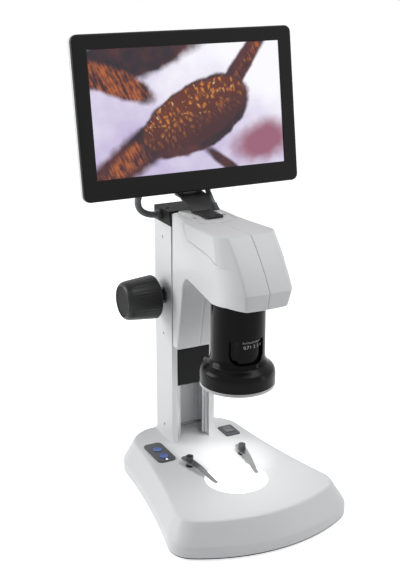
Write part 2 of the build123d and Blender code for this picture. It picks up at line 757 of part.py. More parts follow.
head_solid = head_form(0.0) - under_arm(0.0)
head_room = head_form(head_wall) - under_arm(head_wall)
shell = head_solid - head_room
barrel_outer = sleeve_radius - sleeve_wall - sleeve_gap
barrel_flange = 3.0
barrel_flange_radius = 30.0
chassis_half = 14.0
chassis_back = carriage_front
chassis_low = leg_bottom + 14.0
chassis_arm_low = head_bottom + 14.0
chassis_arm_top = chassis_arm_low + 8.0
under_low = head_bottom - tube_dip - 1
under_high = head_bottom + arm_rise + head_wall + 1
shell -= post(0, axis_y, under_low, under_high, barrel_outer + 0.5)
shell -= block(-chassis_half - 0.5, chassis_half + 0.5, head_back - head_wall - 1, head_back + 1,
               chassis_low - 1, chassis_arm_top + 1)
rib_y = face_y - 41.3
for side in (-1, 1):
    ends = sorted([side * chassis_half, side * nose_top_half_width])
    shell += block(*ends, rib_y - 3, rib_y + 3, chassis_arm_low + 1, chassis_arm_top - 1) & head_solid
head_gland_x = 18.0
head_gland_y = face_y - 15.3
head_gland_radius = 4.2
head_gland_tilt = 45.0
shell -= post(head_gland_x, head_gland_y, head_top - 10, head_top + 1, head_gland_radius - 1)
left_half = shell & block(-60, 0, -200, 200, 0, 2 * head_top)
right_half = shell & block(0, 60, -200, 200, 0, 2 * head_top)
save("head_shell_left", left_half)
save("head_shell_right", right_half)

plate_top = head_top + top_plate_thickness
top_plate_mid = face_y - top_plate_setback - top_plate_length / 2
top_plate = rounded_plate(2 * top_plate_half_width, top_plate_length, top_plate_corner, head_top, plate_top,
                          0, top_plate_mid)
top_plate_screw_places = [(sx * 17.0, face_y - 39.3) for sx in (-1, 1)]
bracket_front = face_y - 51.3
bracket_length = 26.0
bracket_screw_places = [(sx * 5.0, bracket_front + 5.0) for sx in (-1, 1)]
top_plate -= post(head_gland_x, head_gland_y, head_top - 1, plate_top + 1, head_gland_radius - 1)
top_screw_radius = 1.3
for x, y in top_plate_screw_places + bracket_screw_places:
    top_plate -= post(x, y, head_top - 1, plate_top + 1, top_screw_radius + pilot_gap)
save("head_top_plate", top_plate)
top_screws = []
for x, y in top_plate_screw_places:
    top_screws.append(post(x, y, plate_top, plate_top + 0.9, 2.4)
                      + post(x, y, head_top + 0.1, plate_top + 0.5, top_screw_radius))
tilt = Rot(-head_gland_tilt, 0, 0)
gland_end = 5.5
head_gland = Pos(0, 0, gland_end / 2 - 2) * Cylinder(head_gland_radius, gland_end + 4)
head_gland = Pos(head_gland_x, head_gland_y, plate_top) * tilt * head_gland
head_gland -= block(0, 60, -200, 200, 0, plate_top)
head_gland += post(head_gland_x, head_gland_y, plate_top, plate_top + 1.0, head_gland_radius + 0.8)
head_gland += post(head_gland_x, head_gland_y, plate_top - 3, plate_top + 0.5, head_gland_radius - 1.1)
save("head_lead_gland", head_gland)

chassis = block(-chassis_half, chassis_half, head_back - 8, chassis_back, chassis_low, carriage_top)
chassis += block(-chassis_half, chassis_half, head_back - 8, head_back, carriage_top - 1, chassis_arm_top)
chassis += block(-chassis_half, chassis_half, axis_y + 10, head_back - 7, chassis_arm_low, chassis_arm_top)
chassis += post(0, axis_y, chassis_arm_low, chassis_arm_low + 4, barrel_flange_radius)
chassis -= post(0, axis_y, chassis_arm_low - 1, chassis_arm_top + 1, 17.0)
camera_level = chassis_arm_low + 8.0
for x, y in [(sx * 16, axis_y + dy) for sx in (-1, 1) for dy in (-18, 8)]:
    chassis += post(x, y, chassis_arm_low + 3, camera_level, 2.0)
save("head_chassis", chassis)

# optics --------------------------------------------------------------------------
sleeve_bottom = ring_bottom + sleeve_lift
sleeve_top = head_bottom - tube_dip - 0.4
barrel_bottom = ring_bottom + diffuser_floor
window_bottom = sleeve_bottom + window_lift
barrel_top = chassis_arm_low
flange_low = barrel_top - barrel_flange
barrel = turned([(barrel_bore, barrel_bottom), (barrel_outer, barrel_bottom),
                 (barrel_outer, flange_low), (barrel_flange_radius, flange_low),
                 (barrel_flange_radius, barrel_top), (barrel_bore, barrel_top)], 0, axis_y)
save("lens_barrel", barrel)
sleeve_inner = sleeve_radius - sleeve_wall
flare_radius = sleeve_radius + sleeve_flare
flare_height = 7.5
sleeve = turned([(sleeve_inner, sleeve_bottom), (flare_radius, sleeve_bottom),
                 (sleeve_radius + sleeve_flare / 3, sleeve_bottom + 0.4 * flare_height),
                 (sleeve_radius, sleeve_bottom + flare_height),
                 (sleeve_radius, sleeve_top), (sleeve_inner, sleeve_top)], 0, axis_y)
window_half = sleeve_radius * math.sin(math.radians(window_half_angle))
window_round = window_half * 0.55
window_shape = Pos(0, window_bottom + window_height / 2) * Rectangle(2 * window_half, window_height)
window_shape = fillet(window_shape.vertices().group_by(Axis.Y)[0], window_round)
window_cut = extrude(Plane.XZ * window_shape, 60)
sleeve -= Pos(0, axis_y, 0) * Rot(0, 0, window_angle) * window_cut
save("zoom_sleeve", sleeve)

ring_neck = barrel_outer + 0.1
neck_top = sleeve_bottom - sleeve_gap
neck_radius = flare_radius + 0.4
side_low = ring_bottom + diffuser_height
board_level = side_low + 2.0
ring_side_top = ring_bottom + ring_side_height
ring_shoulder_top = ring_bottom + ring_shoulder_height
ring_inside = ring_radius - ring_wall
housing_profile = [(ring_radius, side_low), (ring_radius, ring_side_top - 3),
                   (ring_radius - 0.8, ring_side_top),
                   (ring_radius - 2.4, ring_side_top + 2.8), (ring_shoulder_radius, ring_shoulder_top - 3),
                   (ring_shoulder_radius - 1.2, ring_shoulder_top - 0.7), (neck_radius, neck_top - 0.6),
                   (neck_radius - 0.6, neck_top), (ring_neck, neck_top), (ring_neck, ring_side_top),
                   (ring_inside - 1.5, ring_side_top - 2), (ring_inside, ring_side_top - 5),
                   (ring_inside, side_low)]
ring_housing = turned(housing_profile, 0, axis_y)
save("ring_light_housing", ring_housing)
light_board_low = board_level + board_thickness
light_board = post(0, axis_y, light_board_low, light_board_low + board_thickness, ring_inside - 0.05)
light_board -= post(0, axis_y, board_level, ring_side_top, ring_neck)
ring_leds = []
for place in PolarLocations((ring_neck + ring_inside) / 2, 24):
    spot = place.position
    ring_leds.append(block(spot.X - 1.4, spot.X + 1.4, axis_y + spot.Y - 1.4, axis_y + spot.Y + 1.4,
                           light_board_low - 1.0, light_board_low))
save("ring_light_board", light_board, *ring_leds)
diffuser_edge = 0.6
diffuser_lip = 1.5
lip_radius = ring_inside - 0.1
diffuser = turned([(barrel_bore, ring_bottom), (ring_radius - diffuser_edge, ring_bottom),
                   (ring_radius, ring_bottom + diffuser_edge), (ring_radius, side_low),
                   (lip_radius, side_low),
                   (lip_radius, side_low + diffuser_lip), (ring_inside - 2, side_low + diffuser_lip),
                   (ring_inside - 2, barrel_bottom),
                   (barrel_bore, barrel_bottom)], 0, axis_y)
save("ring_diffuser", diffuser)

lens_room = 0.05


def lens(radius, bottom, edge, bulge):
    """A biconvex lens: two spherical caps on a short edge."""
    ball = (radius ** 2 + bulge ** 2) / (2 * bulge)
    disc = post(0, axis_y, bottom - bulge, bottom + edge + bulge, radius)
    upper = Pos(0, axis_y, bottom + edge + bulge - ball) * Sphere(ball)
    lower = Pos(0, axis_y, bottom - bulge + ball) * Sphere(ball)
    return disc & upper & lower


objective_rise = 10.0
zoom_lens_drop = 36.0
objective_level = barrel_bottom + objective_rise
zoom_level = head_bottom - zoom_lens_drop
lens_radius = barrel_bore - lens_room
save("lenses", lens(lens_radius, objective_level, 3.0, 2.2), lens(lens_radius, zoom_level, 3.0, 1.6))
camera_board_half = 19.0
camera_board_front = 21.0
camera_board_rear = 17.0
sensor_half = 5.0
camera_board = block(-camera_board_half, camera_board_half, axis_y - camera_board_front,
                     axis_y + camera_board_rear, camera_level, camera_level + board_thickness)
image_sensor = block(-sensor_half, sensor_half, axis_y - sensor_half, axis_y + sensor_half,
                     camera_level - 1.5, camera_level)
save("camera_board", camera_board, image_sensor)

# screen --------------------------------------------------------------------------
screen_y = face_y + screen_ahead
place_screen = Pos(0, screen_y, screen_centre_height) * Rot(-screen_tilt, 0, 0)
tilt_rad = math.radians(screen_tilt)


def screen_slab(width, height, corner, front, back, lift=0.0):
    """A rounded slab parallel to the screen.  front and back are depths behind the glass."""
    plate = Plane.XZ * (Pos(0, lift) * RectangleRounded(width, height, corner))
    return Pos(0, front, 0) * extrude(plate, -(back - front))


def screen_bar(x0, x1, depth, up, radius):
    """A round bar along X, given by its depth behind the glass and its height on the screen."""
    return Pos((x0 + x1) / 2, depth, up) * Rot(0, 90, 0) * Cylinder(radius, x1 - x0)


def screen_point(x, depth, up):
    """A point of the screen, given by its depth behind the glass and its height on it."""
    y = screen_y + depth * math.cos(tilt_rad) + up * math.sin(tilt_rad)
    z = screen_centre_height - depth * math.sin(tilt_rad) + up * math.cos(tilt_rad)
    return Vector(x, y, z)


bezel = screen_slab(screen_width, screen_height, screen_corner, 0, bezel_depth)
bezel -= screen_slab(glass_width, glass_height, 0.5, -1, bezel_depth + 1, glass_lift)
panel_step = 2.0
panel_width = glass_width + 8
panel_height = glass_height + 8
bezel -= screen_slab(panel_width + 0.4, panel_height + 0.4, 1, panel_step, bezel_depth + 1, glass_lift)
save("screen_bezel", place_screen * bezel)
panel = screen_slab(panel_width, panel_height, 1, panel_step, panel_step + 2.0, glass_lift)
save("lcd_panel", place_screen * panel)
backlight = screen_slab(panel_width, panel_height, 1, panel_step + 2.0, panel_step + 5.0, glass_lift)
board_depth = panel_step + 8.0
board_side_margin = 28.0
board_tall_margin = 26.0
stud_inset = 6.0
for sx in (-1, 1):
    for su in (-1, 1):
        stud = Pos(sx * (hump_width / 2 - board_side_margin - stud_inset), board_depth - 2.0,
                   su * (hump_height / 2 - board_tall_margin - stud_inset))
        backlight += stud * Rot(90, 0, 0) * Cylinder(2.5, 4.0)
save("backlight_tray", place_screen * backlight)

hump_lift = 2.0
rear_width = screen_width - 1.2
rear_height = screen_height - 1.2
rear = screen_slab(rear_width, rear_height, screen_corner - 0.6, bezel_depth, screen_edge_depth)
hump_base = Plane.XZ * (Pos(0, hump_lift) * RectangleRounded(hump_width, hump_height, 10))
hump_end = Plane.XZ * (Pos(0, hump_lift) * RectangleRounded(hump_width - 14, hump_height - 14, 8))
hump = loft([Pos(0, screen_edge_depth - 0.5, 0) * hump_base, Pos(0, hump_depth, 0) * hump_end], ruled=True)
rear += hump
rear -= screen_slab(rear_width - 2 * screen_wall, rear_height - 2 * screen_wall,
                    screen_corner - 1.5, bezel_depth - 1, screen_edge_depth - screen_wall)
rear -= screen_slab(hump_width - 20, hump_height - 20, 6, screen_edge_depth - screen_wall - 1,
                    hump_depth - screen_wall, hump_lift)
tilt_screw_places = [(sx * 8.0, lift - hinge_drop) for sx in (-1, 1) for lift in (7.5, 14.0)]
screen_screw_places = [(sx * (screen_width / 2 - 6.8), su * (screen_height / 2 - 6.2))
                       for sx in (-1, 1) for su in (-1, 1)]
screen_screw_radius = 1.2
for x, up in screen_screw_places:
    rear += Pos(x, (bezel_depth + screen_edge_depth) / 2, up) * Rot(90, 0, 0) * Cylinder(
        3.5, screen_edge_depth - bezel_depth)
    rear -= Pos(x, screen_edge_depth - 3, up) * Rot(90, 0, 0) * Cylinder(screen_screw_radius + pilot_gap, 8)
    rear -= Pos(x, screen_edge_depth, up) * Rot(90, 0, 0) * Cylinder(2.4, 3.0)
for x, up in tilt_screw_places:
    rear -= Pos(x, screen_edge_depth, up) * Rot(90, 0, 0) * Cylinder(1.3, 8)
lead_port_drop = -(hump_height / 2) + hump_lift
port_depth = 17.6
screen_lead_x = -57.0
head_lead_x = 21.5
for x, radius in ((screen_lead_x, screen_lead_radius), (head_lead_x, head_lead_radius)):
    rear -= Pos(x, port_depth, lead_port_drop) * Cylinder(radius + 0.6, 16)
save("screen_rear_shell", place_screen * rear)
screws = []
for x, up in screen_screw_places:
    screws.append(Pos(x, screen_edge_depth - 1.0, up) * Rot(90, 0, 0) * Cylinder(2.2, 1.0)
                  + Pos(x, screen_edge_depth - 3.4, up) * Rot(90, 0, 0)
                   * Cylinder(screen_screw_radius, 5.0))
board_back = board_depth + board_thickness
display_board = screen_slab(hump_width - 2 * board_side_margin, hump_height - 2 * board_tall_margin,
                            2, board_depth, board_back)
save("display_board", place_screen * display_board)

# tilt hinge ----------------------------------------------------------------------
knuckle_half = 9.0
ear_gap = 0.3
ear = 3.0
hinge_up = -hinge_drop
leaf_back = screen_edge_depth + sheet
leaf_mid = (screen_edge_depth + leaf_back) / 2
leaf_length = 18.0
leaf_overhang = 4.0
leaf_width = 2 * (knuckle_half + leaf_overhang)
hinge_leaf = Pos(0, leaf_mid, hinge_up + leaf_length / 2) * Box(leaf_width, sheet, leaf_length)
hinge_leaf -= Pos(0, leaf_back, hinge_up) * Box(2 * leaf_width, 8, 2 * knuckle_radius + 1.0)
hinge_leaf += Pos(0, leaf_mid, hinge_up + 5.0) * Box(2 * knuckle_half, sheet, 6.0)
knuckle = screen_bar(-knuckle_half, knuckle_half, hinge_set_back, hinge_up, knuckle_radius)
hinge_leaf += knuckle
hinge_leaf += Pos(0, (screen_edge_depth + hinge_set_back) / 2, hinge_up + 2.2) * Box(
    2 * knuckle_half, hinge_set_back - screen_edge_depth, 4.0)
hinge_leaf -= screen_bar(-leaf_width, leaf_width, hinge_set_back, hinge_up, hinge_pin_radius + running_gap)
for x, up in tilt_screw_places:
    hinge_leaf -= Pos(x, leaf_back, up) * Rot(90, 0, 0) * Cylinder(1.4, 8)
save("tilt_leaf", place_screen * hinge_leaf)
for x, up in tilt_screw_places:
    screws.append(Pos(x, leaf_back + 0.6, up) * Rot(90, 0, 0) * Cylinder(2.2, 1.2)
                  + Pos(x, leaf_back - 2.4, up) * Rot(90, 0, 0) * Cylinder(1.2, 5.0))
save("screen_screws", *[place_screen * s for s in screws])

hinge = screen_point(0, hinge_set_back, hinge_up)
hinge_y = hinge.Y
hinge_z = hinge.Z
pin_half = knuckle_half + ear_gap + ear + 2.0
tilt_pin = cross_bar(-pin_half, pin_half - 2.0, hinge_y, hinge_z, hinge_pin_radius)
tilt_pin += cross_bar(pin_half - 2.0, pin_half + 1.5, hinge_y, hinge_z, hinge_pin_radius + 2.0)
tilt_pin += cross_bar(-pin_half - 1.5, -pin_half + 2.0, hinge_y, hinge_z, hinge_pin_radius + 2.0)
save("tilt_pin", tilt_pin)

bend_y = bracket_front + bracket_length + 3.0
knee_y = bend_y + 16.0
knee_z = head_top + 13.5
heel_y = hinge_y - 1.0
heel_z = hinge_z - knuckle_radius - 3.0
foot_top = plate_top + sheet
lean_y = sheet * 0.75
strip = [(bracket_front, plate_top), (bend_y, plate_top), (knee_y + lean_y, knee_z - sheet * 0.6),
         (heel_y + 3, heel_z - sheet), (heel_y + 3, heel_z), (knee_y, knee_z), (bend_y - lean_y, foot_top),
         (bracket_front, foot_top)]
arm_strip = side_profile(strip, 30.0)
foot_half = 9.0
arm_half = 11.0
yoke_half = knuckle_half + ear_gap + ear + 2.3
right_edge = [(foot_half, bracket_front - 1), (foot_half, bend_y - 8), (arm_half, bend_y - 4),
              (yoke_half, knee_y), (yoke_half, heel_y + 9)]
left_edge = [(-x, y) for x, y in reversed(right_edge)]
arm_plan = make_face(Polyline(right_edge + left_edge, close=True))
arm = arm_strip & (Pos(0, 0, head_bottom) * extrude(arm_plan, 120))
for side in (-1, 1):
    inner = side * (knuckle_half + ear_gap)
    outer = side * (knuckle_half + ear_gap + ear)
    ear_block = block(min(inner, outer), max(inner, outer), heel_y - 4, heel_y + 3, heel_z - 1, hinge_z)
    ear_block += cross_bar(min(inner, outer), max(inner, outer), hinge_y, hinge_z, knuckle_radius)
    arm += ear_block
arm -= cross_bar(-leaf_width, leaf_width, hinge_y, hinge_z, hinge_pin_radius + 0.02)
for x, y in bracket_screw_places:
    arm -= post(x, y, plate_top - 1, foot_top + 1, top_screw_radius + pilot_gap)
save("screen_bracket", arm)
for x, y in bracket_screw_places:
    top_screws.append(post(x, y, foot_top, foot_top + 1.2, 2.4)
                      + post(x, y, head_top + 0.1, foot_top + 0.5, top_screw_radius))
save("head_top_screws", *top_screws)

# leads ---------------------------------------------------------------------------
def lead(points, radius, name):
    """A cord: straight runs joined by tangent arcs as large as the runs allow."""
    points = [Vector(p) for p in points]
    radii = []
    for before, here, after in zip(points, points[1:], points[2:]):
        turn = (here - before).get_angle(after - here)
        shorter = min((here - before).length, (after - here).length)
        radii.append(0.45 * shorter / math.tan(math.radians(turn) / 2))
    path = FilletPolyline(*points, radius=radii)
    section = Plane(origin=points[0], z_dir=points[1] - points[0]) * Circle(radius)
    solid = sweep(section, path=path)
    print(name, "length", round(path.length, 1), "radii", [round(r, 1) for r in radii],
          "volume ratio", round(solid.volume / (math.pi * radius ** 2 * path.length), 4))
    save(name, solid)


boot_length = 14.0
boot_drop = lead_port_drop - 0.8 - boot_length
lead_start = Vector(-column_width / 2 - 4.0, lead_exit_y, gland_z)
screen_lead_route = [lead_start, lead_start - (8.0, 0, 0),
                     (screen_lead_x + 7.5, lead_exit_y - 0.5, cap_top - 1.2),
                     (screen_lead_x + 1.3, lead_exit_y - 6.5, cap_top + 9.5),
                     screen_point(screen_lead_x, port_depth, boot_drop - 11.0),
                     screen_point(screen_lead_x, port_depth, boot_drop)]
lead(screen_lead_route, screen_lead_radius, "screen_lead")
gland_lean = Vector(0, math.sin(math.radians(head_gland_tilt)), math.cos(math.radians(head_gland_tilt)))
head_lead_start = Vector(head_gland_x, head_gland_y, plate_top) + gland_lean * gland_end
head_lead_route = [head_lead_start, head_lead_start + gland_lean * 10.0,
                   (head_lead_x - 0.6, face_y + 7.4, head_top + 16.0),
                   screen_point(head_lead_x, port_depth, boot_drop - 6.0),
                   screen_point(head_lead_x, port_depth, boot_drop)]
lead(head_lead_route, head_lead_radius, "head_lead")
boots = []
for x, radius in ((screen_lead_x, screen_lead_radius), (head_lead_x, head_lead_radius)):
    boot = Pos(0, 0, boot_drop) * Cone(radius + 0.7, radius + 1.8, boot_length,
                                       align=(Align.CENTER, Align.CENTER, Align.MIN))
    plug = Pos(0, 0, lead_port_drop + 1.0) * Cylinder(radius + 0.5, 6)
    boots.append(place_screen * Pos(x, port_depth, 0) * (boot + plug))
save("lead_boots", *boots)
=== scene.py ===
# %% [markdown]
# # A digital microscope with its own screen
# The real instrument is a white moulded base with a lit stage, a painted square column, a white two-part head
# that slides on it, a black lens tube with a ring light, and a flat screen on a bent steel arm. Every visible
# skin here is a surface worked out with numpy in millimetres and put into a mesh, or a softened copy of the
# machined part.

import json
import math

import bmesh
import bpy
import numpy as np
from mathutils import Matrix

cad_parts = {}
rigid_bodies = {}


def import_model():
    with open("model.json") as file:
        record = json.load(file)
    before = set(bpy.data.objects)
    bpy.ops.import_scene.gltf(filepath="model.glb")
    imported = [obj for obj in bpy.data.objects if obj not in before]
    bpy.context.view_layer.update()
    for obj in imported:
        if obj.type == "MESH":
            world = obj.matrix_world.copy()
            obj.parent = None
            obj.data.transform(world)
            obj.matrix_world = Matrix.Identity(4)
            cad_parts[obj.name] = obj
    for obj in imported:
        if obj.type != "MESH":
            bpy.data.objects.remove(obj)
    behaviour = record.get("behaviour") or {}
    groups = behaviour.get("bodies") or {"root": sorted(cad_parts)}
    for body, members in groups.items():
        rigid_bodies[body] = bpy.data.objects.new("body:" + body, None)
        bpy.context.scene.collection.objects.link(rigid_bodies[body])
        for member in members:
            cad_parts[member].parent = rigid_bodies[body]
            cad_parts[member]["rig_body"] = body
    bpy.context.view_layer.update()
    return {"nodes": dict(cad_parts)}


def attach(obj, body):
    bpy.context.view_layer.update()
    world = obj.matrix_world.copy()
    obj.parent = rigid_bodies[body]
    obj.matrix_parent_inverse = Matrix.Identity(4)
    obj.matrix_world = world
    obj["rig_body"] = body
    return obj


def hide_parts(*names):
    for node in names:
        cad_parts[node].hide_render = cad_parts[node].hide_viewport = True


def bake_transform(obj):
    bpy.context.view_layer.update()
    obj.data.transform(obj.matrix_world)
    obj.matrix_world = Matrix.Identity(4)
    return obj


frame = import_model()
nodes = frame["nodes"]

# %% [markdown]
# ## The camera
# A product camera stands back and looks down a little, with a long lens, so upright edges stay nearly
# upright. The place and the lens are set first, because every piece is seen through them.

# %% Camera
SENSOR_WIDTH = 36.0
LENS = 97.94
LOOKS_DOWN, LOOKS_RIGHT = 18.42, 26.73
camera_data = bpy.data.cameras.new("camera")
camera_data.sensor_fit = "HORIZONTAL"
camera_data.sensor_width = SENSOR_WIDTH
camera_data.lens = LENS
camera_data.clip_start = 0.05
camera = bpy.data.objects.new("camera", camera_data)
camera.location = (-0.4951, -0.9301, 0.5883)
camera.rotation_euler = (math.radians(90.0 - LOOKS_DOWN), 0.0, math.radians(-LOOKS_RIGHT))
bpy.context.scene.collection.objects.link(camera)
bpy.context.scene.camera = camera
print("camera", round(camera.location.length, 3), "m from the origin, lens", LENS)

# %% [markdown]
# ## From arrays to meshes
# A surface here is an array of points with rows and columns. Joining each point to its neighbours gives
# quads. All quads of a piece go into one mesh, doubled points are merged so that seams and poles close, and
# the faces are then turned outwards. Edges that bend by more than a given angle stay crisp, and the rest is
# shaded smooth.

# %% Grid of quads
MM = 0.001


def grid(points, around=False):
    """Quads over points[row, column]: point (i, j) joins (i, j+1), (i+1, j+1) and (i+1, j). With around, the
    last column also joins the first."""
    rows, columns = points.shape[:2]
    index = np.arange(rows * columns).reshape(rows, columns)
    if around:
        index = np.concatenate([index, index[:, :1]], axis=1)
    quads = np.stack([index[:-1, :-1], index[:-1, 1:], index[1:, 1:], index[1:, :-1]], axis=-1)
    return points.reshape(-1, 3), quads.reshape(-1, 4).tolist()


def flat_face(points):
    """One flat face through a loop of points."""
    return points, [list(range(len(points)))]


def shade(mesh, angle):
    """Smooth shading, except across edges that bend by more than angle degrees."""
    mesh.polygons.foreach_set("use_smooth", np.ones(len(mesh.polygons), dtype=bool))
    mesh.set_sharp_from_angle(angle=math.radians(angle))


print("a grid of 3 by 4 points has", len(grid(np.zeros((3, 4, 3)))[1]), "quads")

# %% One piece from several surfaces
MERGE = 0.00001


def piece(name, surfaces, finish, body, stands_for=(), smooth=35.0, close=False):
    """Surfaces in millimetres become one mesh in metres, with doubles merged and the faces turned
    outwards."""
    corners = []
    faces = []
    start = 0
    for points, polygons in surfaces:
        corners.append(points)
        faces += [[start + i for i in polygon] for polygon in polygons]
        start += len(points)
    mesh = bpy.data.meshes.new(name)
    mesh.from_pydata((np.concatenate(corners) * MM).tolist(), [], faces)
    shape = bmesh.new()
    shape.from_mesh(mesh)
    bmesh.ops.remove_doubles(shape, verts=shape.verts, dist=MERGE)
    if close:
        bmesh.ops.holes_fill(shape, edges=[e for e in shape.edges if e.is_boundary], sides=0)
    bmesh.ops.recalc_face_normals(shape, faces=shape.faces)
    open_edges = sum(1 for e in shape.edges if not e.is_manifold)
    shape.to_mesh(mesh)
    shape.free()
    shade(mesh, smooth)
    thing = bpy.data.objects.new(name, mesh)
    bpy.context.scene.collection.objects.link(thing)
    thing.data.materials.append(finish)
    if body:
        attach(thing, body)
    if stands_for:
        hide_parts(*stands_for)
    print(name, "faces", len(mesh.polygons), "open edges", open_edges)
    return thing


print("doubles closer than", MERGE / MM, "mm are merged")

# %% [markdown]
# ## Softened copies
# Machined, cast and bent parts are already right in the frame, but real edges are never razor sharp: a coat
# of paint or a tumbling barrel rounds them, and that thin round edge is what catches the light. A copy of the
# part's mesh is merged, its flat triangles are joined, and a small bevel rounds its edges.

# %% Copy with rounded edges
MERGE_PART = 0.000002
CRISP = 30.0
FLAT = 0.6


def softened(node, finish, edge=0.3, smooth=32.0, segments=2):
    """A copy of a frame part: doubles merged, flat triangles joined, crisp edges rounded by edge mm."""
    source = nodes[node]
    mesh = source.data.copy()
    mesh.name = node + "_skin"
    mesh.materials.clear()
    shape = bmesh.new()
    shape.from_mesh(mesh)
    bmesh.ops.remove_doubles(shape, verts=shape.verts, dist=MERGE_PART)
    bmesh.ops.dissolve_limit(shape, angle_limit=math.radians(FLAT), verts=shape.verts, edges=shape.edges)
    shape.to_mesh(mesh)
    shape.free()
    shade(mesh, smooth)
    thing = bpy.data.objects.new(node + "_skin", mesh)
    bpy.context.scene.collection.objects.link(thing)
    mesh.materials.append(finish)
    if edge:
        bevel = thing.modifiers.new("rounded_edge", "BEVEL")
        bevel.width = edge * MM
        bevel.segments = segments
        bevel.limit_method = "ANGLE"
        bevel.angle_limit = math.radians(CRISP)
        bevel.harden_normals = True
    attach(thing, source["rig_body"])
    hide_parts(node)
    print(thing.name, "faces", len(mesh.polygons), "rounded by", edge, "mm")


print("edges above", CRISP, "degrees are rounded")

# %% [markdown]
# ## Shader maths as plain expressions
# A finish is a small tree of nodes. A class wraps a node's socket so that + - * / on it add Math nodes, and
# one method adds any other node from its type, its settings and its inputs. The tree then reads like a
# formula.

# %% Sockets with arithmetic
class Flow:
    """A socket of a finish that adds Math nodes when it is used in an expression."""

    def __init__(self, finish, socket):
        self.finish = finish
        self.socket = socket

    def maths(self, operation, *values):
        """A Math node of that operation on the values."""
        return self.finish.add("Math", {"operation": operation}, dict(enumerate(values)))

    def __add__(self, other):
        return self.maths("ADD", self, other)

    def __sub__(self, other):
        return self.maths("SUBTRACT", self, other)

    def __rsub__(self, other):
        return self.maths("SUBTRACT", other, self)

    def __mul__(self, other):
        return self.maths("MULTIPLY", self, other)

    def __truediv__(self, other):
        return self.maths("DIVIDE", self, other)

    def __pow__(self, other):
        return self.maths("POWER", self, other)

    def above(self, low, high):
        """0 below low, 1 above high, a smooth step between."""
        settings = {"interpolation_type": "SMOOTHSTEP"}
        return self.finish.add("MapRange", settings, {"Value": self, "From Min": low, "From Max": high})

    __radd__ = __add__
    __rmul__ = __mul__


print("sockets now take + - * / and **")

# %% A finish and its nodes
class Finish:
    """A material: a Principled shader whose inputs are set by number or linked to a Flow."""

    def __init__(self, name, **inputs):
        self.material = bpy.data.materials.new(name)
        self.material.use_nodes = True
        self.tree = self.material.node_tree
        self.tree.nodes.clear()
        self.output = self.tree.nodes.new("ShaderNodeOutputMaterial")
        self.shader = self.tree.nodes.new("ShaderNodeBsdfPrincipled")
        self.tree.links.new(self.shader.outputs[0], self.output.inputs[0])
        self.place = self.add("TexCoord", output="Object")
        self.set(inputs)

    def add(self, kind, settings=None, inputs=None, output=0):
        """A node of that kind with its settings made first, then its sockets set or linked."""
        node = self.tree.nodes.new("ShaderNode" + kind)
        for key, value in (settings or {}).items():
            setattr(node, key, value)
        self.fill(node, inputs or {})
        return Flow(self, node.outputs[output])

    def fill(self, node, inputs):
        """Links each input that is a Flow and sets the others to their value."""
        for key, value in inputs.items():
            if isinstance(value, Flow):
                self.tree.links.new(value.socket, node.inputs[key])
            elif isinstance(value, tuple) and len(value) == 3 and node.inputs[key].type == "RGBA":
                node.inputs[key].default_value = (*value, 1.0)
            else:
                node.inputs[key].default_value = value

    def set(self, inputs):
        """The same for the shader, where an underscore in a name stands for a space."""
        self.fill(self.shader, {key.replace("_", " "): value for key, value in inputs.items()})

    def noise(self, scale, detail=2.0, stretch=None):
        """Noise with features of about 1 / scale metres, drawn out where stretch is small."""
        place = self.place
        if stretch:
            place = self.add("Mapping", {}, {"Vector": place, "Scale": stretch})
        return self.add("TexNoise", {}, {"Vector": place, "Scale": scale, "Detail": detail})

    def mix(self, factor, first, second):
        """The first colour times (1 - factor) plus the second times factor."""
        return self.add("Mix", {"data_type": "RGBA"}, {0: factor, 6: first, 7: second}, 2)

    def bump(self, height, strength, distance):
        """Tilts the shading as if the surface rose by height times distance."""
        normal = self.add("Bump", {}, {"Height": height, "Strength": strength, "Distance": distance})
        self.set({"Normal": normal})


print("a finish starts as a Principled shader")

# %% [markdown]
# ## Finishes of moulded plastic and paint
# Moulded plastic carries the fine spark texture of its steel mould, and its gloss drifts a little over a
# large face. Powder paint does the same at a slightly larger scale. One function gives them all: a colour
# that drifts by a few percent, a roughness that drifts too, and a shallow bump of fine grain.

# %% Moulded finish
GRAIN_DEPTH = 0.00012


def moulded(name, colour, roughness, grain=0.25, drift=0.03, scale=1400.0, **more):
    """Colour and gloss drift over about 80 mm, and grain is a bump with features of about 0.7 mm."""
    finish = Finish(name)
    finish.set(more)
    cloud = finish.noise(13.0, 3.0)
    dark = tuple(c * (1.0 - drift) for c in colour)
    light = tuple(min(1.0, c * (1.0 + drift)) for c in colour)
    fine = finish.noise(scale, 2.0)
    finish.set({"Base Color": finish.mix(cloud, dark, light),
                "Roughness": cloud * 0.08 + fine * 0.05 + (roughness - 0.065)})
    finish.bump(fine, grain, GRAIN_DEPTH)
    return finish


white_shell = moulded("white_shell", (0.76, 0.765, 0.77), 0.42).material
white_paint = moulded("white_column_paint", (0.76, 0.765, 0.77), 0.36, grain=0.15, scale=900.0).material
black_plastic = moulded("black_plastic", (0.012, 0.012, 0.013), 0.38, Specular_IOR_Level=0.2).material
bezel_black = moulded("bezel_black", (0.0085, 0.0082, 0.0085), 0.42, grain=0.12,
                      Specular_IOR_Level=0.16).material
grey_pad = moulded("pad_grey", (0.045, 0.048, 0.055), 0.40).material
knob_grey = moulded("knob_grey", (0.014, 0.0143, 0.015), 0.34, grain=0.2, Specular_IOR_Level=0.28).material
disc_grey = moulded("knob_disc_grey", (0.028, 0.0282, 0.0287), 0.45, grain=0.15,
                    Specular_IOR_Level=0.03).material
rubber = moulded("rubber", (0.035, 0.036, 0.038), 0.62, grain=0.5, drift=0.08).material
lead_jacket = moulded("lead_jacket", (0.085, 0.088, 0.095), 0.45, grain=0.2).material
arm_paint = moulded("arm_black_paint", (0.024, 0.0243, 0.025), 0.46, grain=0.4, scale=1100.0,
                    Specular_IOR_Level=0.3).material
